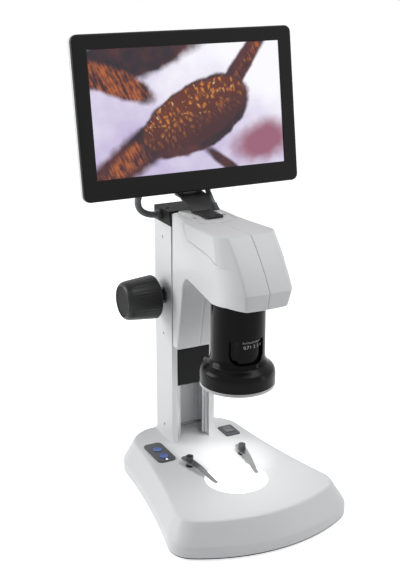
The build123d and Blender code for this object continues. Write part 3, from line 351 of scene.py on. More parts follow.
cast_grey = moulded("cast_cap_grey", (0.022, 0.0222, 0.0226), 0.5, grain=0.8, drift=0.07, scale=800.0,
                    Specular_IOR_Level=0.06).material
cover_black = moulded("cover_black", (0.009, 0.009, 0.009), 0.5, grain=0.2, Specular_IOR_Level=0.15).material
rocker_grey = moulded("rocker_grey", (0.13, 0.135, 0.14), 0.35, grain=0.2).material
tube_black = moulded("tube_black", (0.0040, 0.0037, 0.0039), 0.14, grain=0.02,
                     Specular_IOR_Level=0.085).material
ring_black = moulded("ring_black", (0.0055, 0.0050, 0.0052), 0.22, grain=0.04,
                     Specular_IOR_Level=0.11).material
print("moulded and painted finishes", len(bpy.data.materials))

# %% [markdown]
# ## Metal, glass and light
# Turned and drawn metal shows fine parallel lines, so its noise is stretched along the working direction. The
# lit pieces give off their own light: the stage glass, the ring under the lens and the small lamp by the
# keys.

# %% Metal
LINE_DEPTH = 0.00005


def metal(name, colour, roughness, stretch=(1.0, 1.0, 1.0), grain=0.3):
    """Metal whose tone and gloss follow noise stretched along the working direction."""
    finish = Finish(name, Metallic=1.0)
    lines = finish.noise(600.0, 3.0, stretch)
    worn = finish.noise(40.0, 2.0)
    dark = tuple(c * 0.82 for c in colour)
    finish.set({"Base Color": finish.mix(lines, dark, colour),
                "Roughness": worn * 0.12 + lines * 0.1 + (roughness - 0.11)})
    finish.bump(lines, grain, LINE_DEPTH)
    return finish


steel = metal("steel", (0.62, 0.62, 0.63), 0.28).material
clip_steel = metal("clip_steel", (0.40, 0.40, 0.405), 0.32, (0.1, 1.0, 1.0)).material
clip_dark = metal("clip_knob_dark", (0.10, 0.10, 0.105), 0.26).material
rail_metal = metal("rail_metal", (0.55, 0.55, 0.56), 0.30, (1.0, 1.0, 0.02)).material
machined = metal("machined_alloy", (0.46, 0.46, 0.47), 0.38, (1.0, 1.0, 0.05)).material
dark_steel = metal("blackened_steel", (0.10, 0.10, 0.105), 0.34).material
brass = metal("brass", (0.70, 0.52, 0.24), 0.30).material
print("finishes with the metals", len(bpy.data.materials))

# %% Glowing pieces
def glowing(name, colour, glow, strength):
    """A pale frosted skin that gives off light, a touch uneven as behind a diffuser."""
    finish = Finish(name, Roughness=0.35)
    cloud = finish.noise(60.0, 2.0)
    dim = tuple(c * 0.97 for c in glow)
    finish.set({"Base Color": finish.mix(cloud, tuple(c * 0.97 for c in colour), colour),
                "Emission Color": finish.mix(cloud, dim, glow), "Emission Strength": strength})
    return finish


stage_glass = glowing("stage_glass", (0.85, 0.86, 0.87), (1.0, 1.0, 1.0), 1.1).material
ring_light = glowing("ring_light_diffuser", (0.82, 0.83, 0.84), (1.0, 1.0, 1.0), 5.0).material
# The white ring is pale plastic, given a darker grey than the white shells as painted shade from the drum above
# it.
ring_plastic_painted_shade = moulded("ring_light_rim_painted_shade", (0.55, 0.55, 0.55), 0.3, grain=0.1).material
lamp_white = glowing("lamp_white", (0.8, 0.84, 0.9), (0.9, 0.95, 1.0), 0.9).material
blue_key = moulded("blue_key", (0.055, 0.125, 0.40), 0.30, grain=0.1).material
print("finishes with the lit pieces", len(bpy.data.materials))

# %% [markdown]
# ## Paths and outlines
# Most pieces are a profile carried round an outline. Three helpers cover them: a path with rounded corners,
# an arc, and a rectangle with rounded corners. A profile can also be turned round an axis.

# %% Path with rounded corners
def rounded_path(points, radii, steps=5, run=6.0):
    """A polyline whose inner corners are replaced by quadratic curves (1-t)^2 A + 2t(1-t) B + t^2 C, where A
    and C lie at the radius from the corner B. Straight runs are divided into pieces of about the given
    length."""
    points = np.asarray(points, dtype=float)
    parts = []
    cursor = points[0]
    t = np.linspace(0.0, 1.0, steps)[:, None]
    for before, corner, after, radius in zip(points[:-2], points[1:-1], points[2:], radii):
        a = corner + (before - corner) / np.linalg.norm(before - corner) * radius
        c = corner + (after - corner) / np.linalg.norm(after - corner) * radius
        parts.append(between(cursor, a, run)[:-1])
        parts.append((1 - t) ** 2 * a + 2 * t * (1 - t) * corner + t ** 2 * c)
        cursor = c
    parts.append(between(cursor, points[-1], run)[1:])
    return np.concatenate(parts)


def between(a, b, run):
    """Evenly spaced points from a to b."""
    count = max(2, int(math.ceil(np.linalg.norm(b - a) / run)) + 1)
    return a + (b - a) * np.linspace(0.0, 1.0, count)[:, None]


print("one rounded corner takes", len(rounded_path([(0, 0), (10, 0), (10, 10)], [2.0])), "points")

# %% Arcs and rounded rectangles
def arc(centre, radius, start, end, count):
    """Points on a circle from one angle to another, the last one left out."""
    angle = np.linspace(start, end, count, endpoint=False)
    return np.stack([centre[0] + radius * np.cos(angle), centre[1] + radius * np.sin(angle)], axis=-1)


def rounded_rectangle(width, height, corner, sides=8, turns=7):
    """A closed outline: four quarter circles joined by straight sides, with as many points at any size."""
    w, h = width / 2 - corner, height / 2 - corner
    parts = []
    for number, (sx, sy) in enumerate(((1, 1), (-1, 1), (-1, -1), (1, -1))):
        start = number * math.pi / 2
        quarter = arc((sx * w, sy * h), corner, start, start + math.pi / 2, turns)
        out = (corner * math.cos(start + math.pi / 2), corner * math.sin(start + math.pi / 2))
        last = np.array([sx * w + out[0], sy * h + out[1]])
        nx, ny = ((-1, 1), (-1, -1), (1, -1), (1, 1))[number]
        following = np.array([nx * w + out[0], ny * h + out[1]])
        parts += [quarter, last + (following - last) * np.linspace(0.0, 1.0, sides, endpoint=False)[:, None]]
    return np.concatenate(parts)


print("a rounded rectangle has", len(rounded_rectangle(20.0, 10.0, 2.0)), "points")

# %% Turned surfaces
AXIS_Y = -32.0


def turned(profile, centre=(0.0, AXIS_Y), segments=128, ripple=None):
    """Each (radius, height) becomes a ring: x = r cos a, y = r sin a. A ripple adds to the radius."""
    profile = np.asarray(profile, dtype=float)
    angle = np.linspace(0.0, 2 * np.pi, segments, endpoint=False)
    radius = profile[:, :1] + 0 * angle
    if ripple is not None:
        radius = radius + ripple(angle[None, :], profile[:, 1:])
    x = centre[0] + radius * np.cos(angle)
    y = centre[1] + radius * np.sin(angle)
    return np.stack([x, y, profile[:, 1:] + 0 * angle], axis=-1)


print("the lens axis stands at y =", AXIS_Y)

# %% [markdown]
# ## The base
# The base is one moulded shell. Seen from above it has a bowed nose, slightly hollow sides and a straight
# back with round corners. Its side is an upright skirt, then a slope, then the flat deck, with soft edges
# between. The outline is built from arcs that touch each other, and a profile says how far inwards each level
# of it lies.

# %% Base outline
DECK = 37.5
SLOPE = 15.5
HALF_DEPTH = 125.0
NOSE_LEAN, SIDE_LEAN, BACK_LEAN = 15.5, 11.0, 5.5
SHOULDER, WAIST, TAIL = 104.5, 82.5, 74.0
NOSE_ROUND, FRONT_ROUND, REAR_ROUND = 178.0, 26.0, 38.0


def circle_through(a, b, c):
    """Centre and radius of the circle through three points, from the two chords' middle lines."""
    rows = 2 * np.array([b - a, c - a])
    centre = np.linalg.solve(rows, np.array([b @ b - a @ a, c @ c - a @ a]))
    return centre, np.linalg.norm(a - centre)


def heading(vector):
    """The direction of a vector as an angle from 0 to a full turn."""
    return math.atan2(vector[1], vector[0]) % (2 * math.pi)


def base_outline(inward):
    """The base's edge at an inward step: nose arc, corner arc, hollow side, corner arc and back line, then
    mirrored. A corner's centre lies where its distance from both neighbours is right, so the arcs meet
    smoothly."""
    part = min(inward / SLOPE, 1.0)
    more = max(inward - SLOPE, 0.0)
    nose_y = -HALF_DEPTH + NOSE_LEAN * part + more
    back_y = HALF_DEPTH - BACK_LEAN * part - more
    side = SIDE_LEAN * part + more
    nose = np.array([0.0, nose_y + NOSE_ROUND])
    shoulder = np.array([SHOULDER - side, nose[1] - math.sqrt(NOSE_ROUND ** 2 - (SHOULDER - side) ** 2)])
    tail = np.array([TAIL - side, back_y])
    hollow, radius = circle_through(shoulder, np.array([WAIST - side, (shoulder[1] + back_y) / 2]), tail)
    near, far = NOSE_ROUND - FRONT_ROUND, radius + FRONT_ROUND
    gap = hollow - nose
    length = np.linalg.norm(gap)
    along = (near ** 2 - far ** 2 + length ** 2) / (2 * length)
    aside = math.sqrt(near ** 2 - along ** 2)
    unit = gap / length
    front = nose + unit * along + np.array([unit[1], -unit[0]]) * aside
    rear_y = back_y - REAR_ROUND
    rear = np.array([hollow[0] - math.sqrt((radius + REAR_ROUND) ** 2 - (rear_y - hollow[1]) ** 2), rear_y])
    first = heading(front - nose)
    turn = heading(hollow - front)
    last = heading(hollow - rear)
    half = np.concatenate([
        arc(nose, NOSE_ROUND, 1.5 * math.pi, first, 26),
        arc(front, FRONT_ROUND, first, turn + 2 * math.pi if turn < first - math.pi else turn, 16),
        arc(hollow, radius, heading(front - hollow), heading(rear - hollow), 26),
        arc(rear, REAR_ROUND, last - 2 * math.pi if last > math.pi else last, math.pi / 2, 16),
        np.linspace((rear[0], back_y), (0.0, back_y), 8)])
    return np.concatenate([half, half[-2:0:-1] * (-1, 1)])


print("base outline", base_outline(0.0).min(axis=0), base_outline(0.0).max(axis=0))

# %% Base skin
FOOT = 4.0
SKIRT_TOP = 15.5
WELL, WELL_FLOOR = 33.5, 33.6
edge_profile = rounded_path([(1.2, FOOT), (0.0, FOOT), (0.0, SKIRT_TOP), (SLOPE, DECK), (27.0, DECK)],
                            [0.8, 1.8, 2.4], 6, 5.0)
levels = [np.column_stack([base_outline(w), np.full(len(base_outline(w)), z)]) for w, z in edge_profile]
rim = levels[-1]
angle = np.arctan2(rim[:, 1] - AXIS_Y, rim[:, 0])
well = np.stack([WELL * np.cos(angle), AXIS_Y + WELL * np.sin(angle), 0 * angle + DECK], axis=-1)
deck_rows = [rim + (well - rim) * t for t in (0.25, 0.5, 0.75, 0.95, 1.0)]
well_rows = [np.column_stack([0.994 * well[:, 0], AXIS_Y + 0.994 * (well[:, 1] - AXIS_Y), 0 * angle + z])
             for z in (DECK - 0.25, WELL_FLOOR)] + [np.tile([0.0, AXIS_Y, WELL_FLOOR], (len(well), 1))]
underside = [np.tile([0.0, 0.0, FOOT], (len(rim), 1))]
base_skin = grid(np.array(underside + levels + deck_rows + well_rows), around=True)
print("base skin", len(base_skin[0]), "points")

# %% [markdown]
# Behind the column the moulding runs up in a small hollow fillet. Its cross-section is a quarter circle with
# its centre outside the material, drawn along X.

# %% Heel behind the column
HEEL_Y, HEEL_Z, HEEL_ROUND = 119.3, 45.5, 8.0
HEEL_FOOT, HEEL_FRONT, HALF_HEEL = 36.5, 111.4, 26.0
turn = np.linspace(math.pi, 1.5 * math.pi, 12)
heel_line = np.column_stack([HEEL_Y + HEEL_ROUND * np.cos(turn), HEEL_Z + HEEL_ROUND * np.sin(turn)])
heel_loop = np.concatenate([heel_line, [(HEEL_Y, HEEL_FOOT), (HEEL_FRONT, HEEL_FOOT), (HEEL_FRONT, HEEL_Z)]])
heel = np.array([np.column_stack([np.full(len(heel_loop), x), heel_loop]) for x in (-HALF_HEEL, HALF_HEEL)])
piece("base_shell", [base_skin, grid(heel, around=True), flat_face(heel[0]), flat_face(heel[1])],
      white_shell, "stand", ["base_housing"], 30.0)

# %% [markdown]
# ## The stage
# A disc of frosted glass lies flush in the deck and glows. Its edge is ground to a tiny round, so a thin line
# shows where it meets the base. A cylinder with a bevel would do as well; a turned profile is chosen because
# the same helper makes every round piece that follows.

# %% Stage disc
STAGE, STAGE_FOOT = 33.2, 33.7
disc_profile = rounded_path([(0.0, STAGE_FOOT), (STAGE, STAGE_FOOT), (STAGE, DECK), (0.0, DECK)],
                            [0.3, 0.4], 4, 8.0)
piece("stage_disc", [grid(turned(disc_profile), around=True)], stage_glass, "stand", ["stage_plate"])

# %% [markdown]
# ## The head
# The head is moulded in a left and a right half that meet in a seam down the middle. Each half is one
# surface. Its columns run from the column's side round the front corner to the seam. Its rows run from the
# seam underneath, round the lower edge, up the wall, round the upper edge and over the top back to the seam.

# %% Head sections
HEAD_BACK = 68.5
LEG_BACK = 65.6
HEAD_BOTTOM = 242.7
CREASE = 260.0
HEAD_TOP = 306.0
NOSE_TOP = 308.5
SIDE_END = -38.0
BELLY = 3.0
seam_steps = np.array([1.0, 0.8, 0.6, 0.4, 0.25, 0.14, 0.07, 0.035, 0.015, 0.0])


def nose_numbers(z):
    """Reach, half width of the face, half width and cheek depth, each a short formula of the height."""
    if z < CREASE:
        t = max(0.0, (z - HEAD_BOTTOM) / (CREASE - HEAD_BOTTOM))
        return 58.0 + 3.5 * t, 22.5 + 2.5 * t, 36.0 + 2.5 * t, 21.0
    t = (z - CREASE) / (NOSE_TOP - CREASE)
    return 61.5 - 38.5 * t + BELLY * 4 * t * (1 - t), 25.0, 38.5 - 5.5 * t ** 1.5, 21.0 - 10.0 * t ** 2


def rounded_corner(before, corner, after, radius, count):
    """Points on the circle that touches both legs of a corner."""
    u = (before - corner) / np.linalg.norm(before - corner)
    v = (after - corner) / np.linalg.norm(after - corner)
    half = math.acos(u @ v) / 2
    centre = corner + (u + v) / np.linalg.norm(u + v) * radius / math.sin(half)
    first = corner + u * radius / math.tan(half) - centre
    last = corner + v * radius / math.tan(half) - centre
    start = math.atan2(first[1], first[0])
    sweep = (math.atan2(last[1], last[0]) - start + math.pi) % (2 * math.pi) - math.pi
    angle = start + sweep * np.linspace(0.0, 1.0, count)
    return centre + radius * np.column_stack([np.cos(angle), np.sin(angle)])


def head_section(z, straight_y):
    """Half of the head cut level, as points (x, y) from the back to the seam: a straight side, a cheek that
    curves as (1-t)^2 A + 2t(1-t) B + t^2 C, a tight round and a face that bows as y = front + bow (x /
    half)^2. Below the raised panel the cheek's curve starts far back on the side, and beside the panel close
    to its end."""
    reach, face, half, cheek = nose_numbers(z)
    front = AXIS_Y - reach
    brow = np.array([face, front + 1.3])
    turn = np.array([half, front + 1.3 + cheek])
    heel = np.array([26.0, HEAD_BACK])
    along_side = (heel - turn) / np.linalg.norm(heel - turn)
    lead = np.interp(z, [CREASE, 280.5, 282.5, NOSE_TOP], [20.0, 17.0, 3.5, 2.5])
    lead = min(lead, (SIDE_END - 0.8 - turn[1]) / along_side[1])
    tight = rounded_corner(turn, brow, brow - (10.0, 1.04), 5.0, 7)
    start = turn + along_side * lead
    control = turn + (0.055 * lead, -0.02 * lead)
    t = np.linspace(0.0, 1.0, 13)[:-1, None]
    curve = (1 - t) ** 2 * start + 2 * t * (1 - t) * control + t ** 2 * tight[0]
    y = np.concatenate([straight_y, np.linspace(SIDE_END, curve[0, 1], 5)[1:-1]])
    line = np.column_stack([heel[0] + (turn[0] - heel[0]) * (HEAD_BACK - y) / (HEAD_BACK - turn[1]), y])
    x = tight[-1, 0] * seam_steps[1:]
    face_line = np.column_stack([x, front + 1.3 * (x / face) ** 2])
    return np.concatenate([line, curve, tight, face_line])


print("at the crease the nose reaches", nose_numbers(CREASE)[0], "mm forward of the lens axis")

# %% Lower edge of the wall
under_path = rounded_path([(LEG_BACK, 156.0), (53.5, 156.0), (38.5, 232.5), (33.5, 240.9), (24.5, 244.5),
                           (SIDE_END, 237.9)], [2.0, 3.0, 4.0, 4.0], 5, 7.0)
along = np.concatenate([[0.0], np.cumsum(np.linalg.norm(np.diff(under_path, axis=0), axis=1))])
knots = np.interp([-53.5, -38.5, -33.5, -24.5], -under_path[:, 0], along)
top_y = np.interp(along, [0.0, *knots, along[-1]], [LEG_BACK, 61.0, 42.0, 35.0, 24.5, SIDE_END])
slope = np.gradient(under_path, axis=0)
slope /= np.linalg.norm(slope, axis=1)[:, None]
inward = np.column_stack([-slope[:, 1], slope[:, 0]])
inward *= np.sign(inward @ np.array([0.6, 0.8]))[:, None]
print("lower edge points", len(under_path), "length", round(along[-1], 1))

# %% [markdown]
# A table of level sections, about half a millimetre apart, stands for the whole wall. A row of the surface
# can then be taken from it at any height, even one that changes from column to column. Below the crease the
# flat side is worked out from its own formula, because the lower edge there runs across many heights.

# %% Wall at a height
STRAIGHT = len(under_path)
table_z = np.linspace(HEAD_BOTTOM, NOSE_TOP + 1.0, 139)
table = np.array([head_section(z, top_y) for z in table_z])
COLUMNS = table.shape[1]


def skin(z, lift=0.0):
    """The wall at a height for each column, moved outwards by lift."""
    place = np.clip((z - HEAD_BOTTOM) / (table_z[-1] - HEAD_BOTTOM), 0.0, 1.0) * (len(table_z) - 1)
    cell = np.clip(place.astype(int), 0, len(table_z) - 2)
    part = (place - cell)[:, None]
    pick = np.arange(COLUMNS)
    flat = table[cell, pick] * (1 - part) + table[cell + 1, pick] * part
    return np.column_stack([flat[:, 0] + lift, flat[:, 1], z])


def side_x(y, z):
    """x on the flat side below the crease: a share of the way from the turn to the back."""
    share = np.clip((z - HEAD_BOTTOM) / (CREASE - HEAD_BOTTOM), 0.0, 1.0)
    return (36.0 + 2.5 * share) - (10.0 + 2.5 * share) * (y + 67.7 + 3.5 * share) / (136.2 + 3.5 * share)


def stepped_in(points, step):
    """Moves each point of a row inwards, square to the row seen from above."""
    run = np.gradient(points[:, :2], axis=0)
    run[:STRAIGHT] = (0.08, -1.0)
    run[-1] = (-1.0, 0.0)
    run /= np.linalg.norm(run, axis=1)[:, None]
    moved = points.copy()
    moved[:, 0] += run[:, 1] * step
    moved[:, 1] -= run[:, 0] * step
    return moved


def wall(y, z, step):
    """The straight columns at their own y and z, the others on the section of their height, stepped
    inwards."""
    points = skin(z)
    points[:STRAIGHT] = np.column_stack([side_x(y, z), y, z])[:STRAIGHT]
    return stepped_in(points, step)


print("sections", len(table_z), "columns", COLUMNS)

# %% Rows of the lower edge and the wall
EDGE = 2.0
body_y = head_section(HEAD_BOTTOM, top_y)[STRAIGHT:, 1]
path_y = np.concatenate([under_path[:, 0], body_y])
path_z = np.concatenate([under_path[:, 1], 237.9 + np.clip((SIDE_END - body_y) / 30.0, 0.0, 1.0) * 4.8])
normal = np.concatenate([inward, np.tile([0.0, 1.0], (COLUMNS - STRAIGHT, 1))])
upper_y = np.concatenate([top_y, head_section(CREASE, top_y)[STRAIGHT:, 1]])
rows = []
for turn in np.linspace(0.0, math.pi / 2, 6):
    step = EDGE * (1.0 - math.cos(turn))
    level_y, level_z = path_y + normal[:, 0] * step, path_z + normal[:, 1] * step
    rows.append(wall(level_y, level_z, EDGE * (1.0 - math.sin(turn))))
first = rows[0]
foot_y = path_y + normal[:, 0] * EDGE
foot_z = path_z + normal[:, 1] * EDGE
for t in (0.12, 0.3, 0.5, 0.7, 0.86, 0.94, 0.975, 1.0):
    rows.append(wall(foot_y + (upper_y - foot_y) * t, foot_z + (CREASE - foot_z) * t, 0.0))
print("rows up to the crease", len(rows))

# %% [markdown]
# The side has a panel that stands out by 0.6 mm above a small groove. The groove runs level along the arm and
# turns up behind the arm's root, and the panel's front end is the turn into the cheek. Where the groove is
# steep its rows lie further apart. Each row is the wall lifted by a share of the panel's height, and a share
# below zero goes into the groove.

# %% Rows of the panel and its groove
RAISED = 0.6
PANEL_LINE = np.array([(-60.0, 283.0), (-50.0, 283.4), (-35.0, 286.9), (-12.0, 287.5), (13.0, 288.5),
                       (21.0, 290.0), (26.0, 294.5), (31.0, 303.0), (33.0, 303.4)])
style_z = np.interp(upper_y, PANEL_LINE[:, 0], PANEL_LINE[:, 1])
raised = np.interp(upper_y, [33.0, 36.0], [RAISED, 0.0])
raised[STRAIGHT + 3:] = 0.0
raised[STRAIGHT + 3:STRAIGHT + 6] = RAISED * np.array([1.0, 0.75, 0.2])
steep = np.interp(upper_y, [13.0, 21.0, 27.0], [1.0, 2.5, 4.5])
for t in (0.02, 0.06, 0.2, 0.4, 0.6, 0.8, 0.95):
    rows.append(skin(CREASE + (style_z - 2.1 * steep - CREASE) * t))
GROOVE = ((-2.0, 0.0), (-1.7, -0.4), (-0.7, -3.6), (0.0, -4.2), (0.1, 0.4), (0.35, 0.9), (0.8, 1.0))
for step, share in GROOVE:
    rows.append(skin(style_z + step * (steep if step < 0 else 1.0), raised * share))
print("rows up to the panel", len(rows))

# %% [markdown]
# The deck is level under the cover plate, rises a little towards the nose and rounds down at the back. The
# upper edge is a quarter round between the wall and the deck, wider at the back than at the nose.

# %% Rows of the upper edge
REAR_DROP, DROP_START = 2.6, 61.5
RISE, RISE_START = 2.5 / 60.0, 5.0


def deck(y):
    """Height of the deck: a square law down at the back, level, then a gentle rise to the nose."""
    rounding = REAR_DROP * np.clip((y - DROP_START) / (LEG_BACK - DROP_START), 0.0, 1.0) ** 2
    return HEAD_TOP - rounding + np.clip(RISE_START - y, 0.0, 70.0) * RISE


roof = skin(np.full(COLUMNS, NOSE_TOP))
edge = np.interp(roof[:, 1], [-60.0, -10.0, 30.0, HEAD_BACK], [1.6, 2.0, 3.0, 5.0])
top = deck(roof[:, 1])
start_z = np.maximum(top - edge, style_z + 1.0)
edge = top - start_z
for t in (0.2, 0.4, 0.6, 0.8, 1.0):
    rows.append(skin(style_z + 0.8 + (start_z - style_z - 0.8) * t, raised))
for turn in np.linspace(0.0, math.pi / 2, 7)[1:]:
    ring = skin(start_z + edge * math.sin(turn), raised * math.cos(turn) ** 2)
    rows.append(stepped_in(ring, edge * (1.0 - math.cos(turn))))
    rows[-1][:, 2] = start_z + edge * math.sin(turn)
last = rows[-1]
last[:, 2] = deck(last[:, 1])
print("rows up to the deck", len(rows))

# %% Rows to the seam
SEAM = 0.15
SEAM_REACH, SEAM_DEPTH = 0.35, 0.4
WIDTHS = (0.002, 0.012, 0.03, 0.1, 0.4, 0.8)
under = [first * (share, 1.0, 1.0) for share in WIDTHS]
over = [last * (share, 1.0, 1.0) for share in WIDTHS[::-1]]
sheet = np.array(under + rows + over)
groove = SEAM_DEPTH * np.clip(1.0 - (sheet[:, :, 0] - SEAM) / SEAM_REACH, 0.0, 1.0)
sheet[len(under):, :, 1] += groove[len(under):]
sheet[:len(under), :, 1] += groove[:len(under)] * normal[:, 0]
sheet[:len(under), :, 2] += groove[:len(under)] * normal[:, 1]
sheet[-len(over):, :, 1] -= groove[-len(over):]
sheet[-len(over):, :, 2] -= groove[-len(over):]
sheet[:, :, 0] = np.maximum(sheet[:, :, 0], SEAM)
sheet[0, :, 0] = sheet[-1, :, 0] = sheet[:, -1, 0] = SEAM
print("sheet", sheet.shape[:2])

# %% Two halves of the head
def head_half(sign):
    """The sheet with x times the sign, closed by the flat faces at the seam and at the back."""
    half = sheet * (sign, 1.0, 1.0)
    seam = np.concatenate([half[0], half[1:, -1], half[-1, -2::-1]])
    return [grid(half), flat_face(seam), flat_face(half[:, 0])]


piece("head_left", head_half(-1.0), white_shell, "head", ["head_shell_left"], 28.0)
piece("head_right", head_half(1.0), white_shell, "head", ["head_shell_right"], 28.0)
print("head from", sheet.min(axis=(0, 1)).round(1), "to", sheet.max(axis=(0, 1)).round(1))

# %% [markdown]
# ## The raised plate on the head
# A thin moulded plate with a lip round its edge covers the screws inside the head, and the screen's arm
# stands on it. It is one outline carried up, over the lip and down onto its floor.

# %% Top plate
def plate_rows(width, height, corner, centre, profile):
    """An outline carried through a profile of (inward step, height)."""
    rows = []
    for step, z in profile:
        loop = rounded_rectangle(width - 2 * step, height - 2 * step, max(corner - step, 0.3))
        rows.append(np.column_stack([loop[:, 0] + centre[0], loop[:, 1] + centre[1], np.full(len(loop), z)]))
    return rows


PLATE_Y = 34.5
PLATE_FOOT, PLATE_FLOOR, PLATE_TOP = 305.6, 307.05, 307.5
lip = rounded_path([(0.0, PLATE_FOOT), (0.0, PLATE_TOP), (2.2, PLATE_TOP), (2.6, PLATE_FLOOR),
                    (4.0, PLATE_FLOOR)], [0.45, 0.3, 0.2], 4, 4.0)
plate = plate_rows(46.0, 55.0, 6.0, (0.0, PLATE_Y), lip)
bottom, middle = [[np.tile([0.0, PLATE_Y, z], (len(plate[0]), 1))] for z in (PLATE_FOOT, PLATE_FLOOR)]
piece("head_cover_plate", [grid(np.array(bottom + plate + middle), around=True)], white_shell, "head",
      ["head_top_plate"])

# %% [markdown]
# ## The lens tube and the ring light
# These are turned parts. The ring light's body is a black drum with a hollow neck, and a white ring closes it
# from below. Only a thin band under that ring glows. The rest of the ring is pale plastic in a darker grey, as
# painted shade from the drum. The zoom sleeve is a machined tube with a window cut into it. A turned surface
# has no window, so its own copy is softened.

# %% Ring light
TUBE, NECK, RING = 24.95, 30.2, 38.7
NECK_TOP = 171.6
neck = [(TUBE, 162.0), (TUBE, NECK_TOP), (NECK, NECK_TOP)]
shoulder = rounded_path([(NECK, NECK_TOP), (31.2, 170.2), (34.0, 168.2), (37.2, 165.6), (RING, 161.0),
                         (RING, 149.5)], [0.8, 2.0, 2.6, 3.0], 6, 5.0)
drum = np.concatenate([neck, shoulder, [(36.7, 149.5), (36.7, 158.0), (TUBE, 162.0)]])
piece("ring_light_drum", [grid(turned(drum), around=True)], ring_black, "head", ["ring_light_housing"], 30.0)
white_ring = rounded_path([(21.0, 148.5), (21.0, 146.1), (RING, 146.1), (RING, 149.45), (36.6, 149.45),
                           (34.8, 148.5), (21.0, 148.5)], [0.3, 0.8, 0.2, 0.2, 0.2], 5, 5.0)
piece("ring_light_lens", [grid(turned(white_ring), around=True)], ring_plastic_painted_shade, "head", ["ring_diffuser"], 30.0)
lit_band = rounded_path([(23.0, 146.09), (23.0, 146.0), (36.0, 146.0), (36.0, 146.09), (23.0, 146.09)],
                        [0.02, 0.02, 0.02], 3, 3.0)
piece("ring_light_glow", [grid(turned(lit_band), around=True)], ring_light, "head", (), 30.0)
softened("zoom_sleeve", tube_black, 0.3, 30.0)
softened("lens_barrel", tube_black, 0.0, 30.0)

# %% [markdown]
# ## Numbers on the zoom scale
# The zoom's steps are printed in white on the inner tube and show through the sleeve's window. Each number is
# made as flat text, turned into a mesh, and then wrapped on the tube: a point's distance along the line
# becomes an angle.

# %% Wrapped numbers
ink = moulded("scale_ink", (0.62, 0.63, 0.64), 0.5, grain=0.1).material


def on_tube(turn, radius):
    """x and y at an angle from the tube's front: (R sin a, -R cos a) from the axis."""
    return radius * np.sin(turn), AXIS_Y - radius * np.cos(turn)


def wrapped_text(name, words, size, angle, height):
    """Text whose x runs round the tube: a = angle + x / R."""
    curve = bpy.data.curves.new(name, "FONT")
    curve.body = words
    curve.size = size
    curve.align_x = "CENTER"
    curve.extrude = 0.03
    holder = bpy.data.objects.new(name + "_flat", curve)
    bpy.context.scene.collection.objects.link(holder)
    mesh = bpy.data.meshes.new_from_object(holder.evaluated_get(bpy.context.evaluated_depsgraph_get()))
    bpy.data.objects.remove(holder)
    co = np.empty(len(mesh.vertices) * 3, dtype=np.float32)
    mesh.vertices.foreach_get("co", co)
    co = co.reshape(-1, 3).astype(float)
    wrapped = np.column_stack([*on_tube(math.radians(angle) + co[:, 0] / TUBE, TUBE + co[:, 2]),
                               height + co[:, 1]]) * MM
    mesh.vertices.foreach_set("co", wrapped.astype(np.float32).ravel())
    mesh.name = name
    mesh.materials.clear()
    mesh.materials.append(ink)
    text = bpy.data.objects.new(name, mesh)
    bpy.context.scene.collection.objects.link(text)
    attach(text, "head")


NUMBER_Z, NUMBER_SIZE = 191.9, 4.8
FIRST_NUMBER, NUMBER_STEP = -9.0, 10.5
for number, words in enumerate(("0.7", "1", "2", "3", "4")):
    wrapped_text(f"zoom_number_{number}", words, NUMBER_SIZE, FIRST_NUMBER + NUMBER_STEP * number, NUMBER_Z)
print("numbers stand", NUMBER_Z, "mm above the table")

# %% Ticks of the zoom scale
TICK_Z = 197.4
BOX_FACES = [[0, 1, 3, 2], [4, 5, 7, 6], [0, 1, 5, 4], [2, 3, 7, 6], [0, 2, 6, 4], [1, 3, 7, 5]]
ticks = []
for number, turn in enumerate(np.radians(np.arange(-17.0, 34.0, 2.4))):
    tall = 2.6 if number % 5 == 0 else 1.6
    corners = [[*on_tube(turn + aside, TUBE + out), z]
               for out in (0.0, 0.04) for z in (TICK_Z, TICK_Z + tall) for aside in (-0.006, 0.006)]
    ticks.append((np.array(corners), BOX_FACES))
piece("zoom_scale_lines", ticks, ink, "head")

# %% [markdown]
# ## The focus knobs
# A knob is a turned drum that tapers outwards, with shallow flutes for grip and a round outer edge. The
# flutes could be cut one by one, but a ripple on the radius makes all forty in one formula: a raised cosine
# that fades at both ends of the grip. A thin disc closes the end. Both sides are alike.

# %% Knobs
DRIVE = (89.3, 208.0)


def along_x(points, side):
    """Lays a turned piece on its side: its height becomes x, and its plane becomes y and z."""
    return np.stack([side * points[:, :, 2], DRIVE[0] + points[:, :, 0], DRIVE[1] + points[:, :, 1]], axis=-1)


def flutes(angle, height):
    """Forty shallow grooves round the grip, as a raised cosine squared."""
    grip = np.clip((height - 40.5) / 2.0, 0, 1) * np.clip((67.0 - height) / 2.0, 0, 1)
    return -0.22 * grip * (0.5 + 0.5 * np.cos(40 * angle)) ** 2


HUB, HUB_START, FACE = 7.0, 27.9, 73.5
drum = rounded_path([(HUB, HUB_START), (HUB, 36.5), (22.4, 36.5), (24.0, 38.5), (21.3, 69.2), (20.0, 73.2),
                     (17.6, 75.0), (17.0, 74.8), (17.0, FACE), (4.1, FACE), (4.1, HUB_START), (HUB, HUB_START)],
                    [0.4, 1.2, 1.2, 2.6, 1.6, 0.3, 0.2, 0.2, 0.2, 0.2], 5, 2.5)
disc = rounded_path([(0.0, 73.55), (16.9, 73.55), (16.9, 74.5), (15.6, 74.2), (0.0, 74.0)],
                    [0.1, 0.3, 0.6], 4, 3.0)
parts = [grid(along_x(turned(drum, (0.0, 0.0), 264, flutes), side), around=True) for side in (-1, 1)]
piece("knob_drums", parts, knob_grey, "focus_drive", ["focus_knobs"], 30.0)
parts = [grid(along_x(turned(disc, (0.0, 0.0), 96), side), around=True) for side in (-1, 1)]
piece("knob_end_discs", parts, disc_grey, "focus_drive", ["knob_caps"], 30.0)

# %% [markdown]
# ## The screen
# The screen leans back a little. Its pieces are worked out flat, as a distance across, a height on the glass
# and a depth behind it, and then leant. The bezel is a ring: an outline carried over its front edge to the
# window, down to the glass and back round behind.

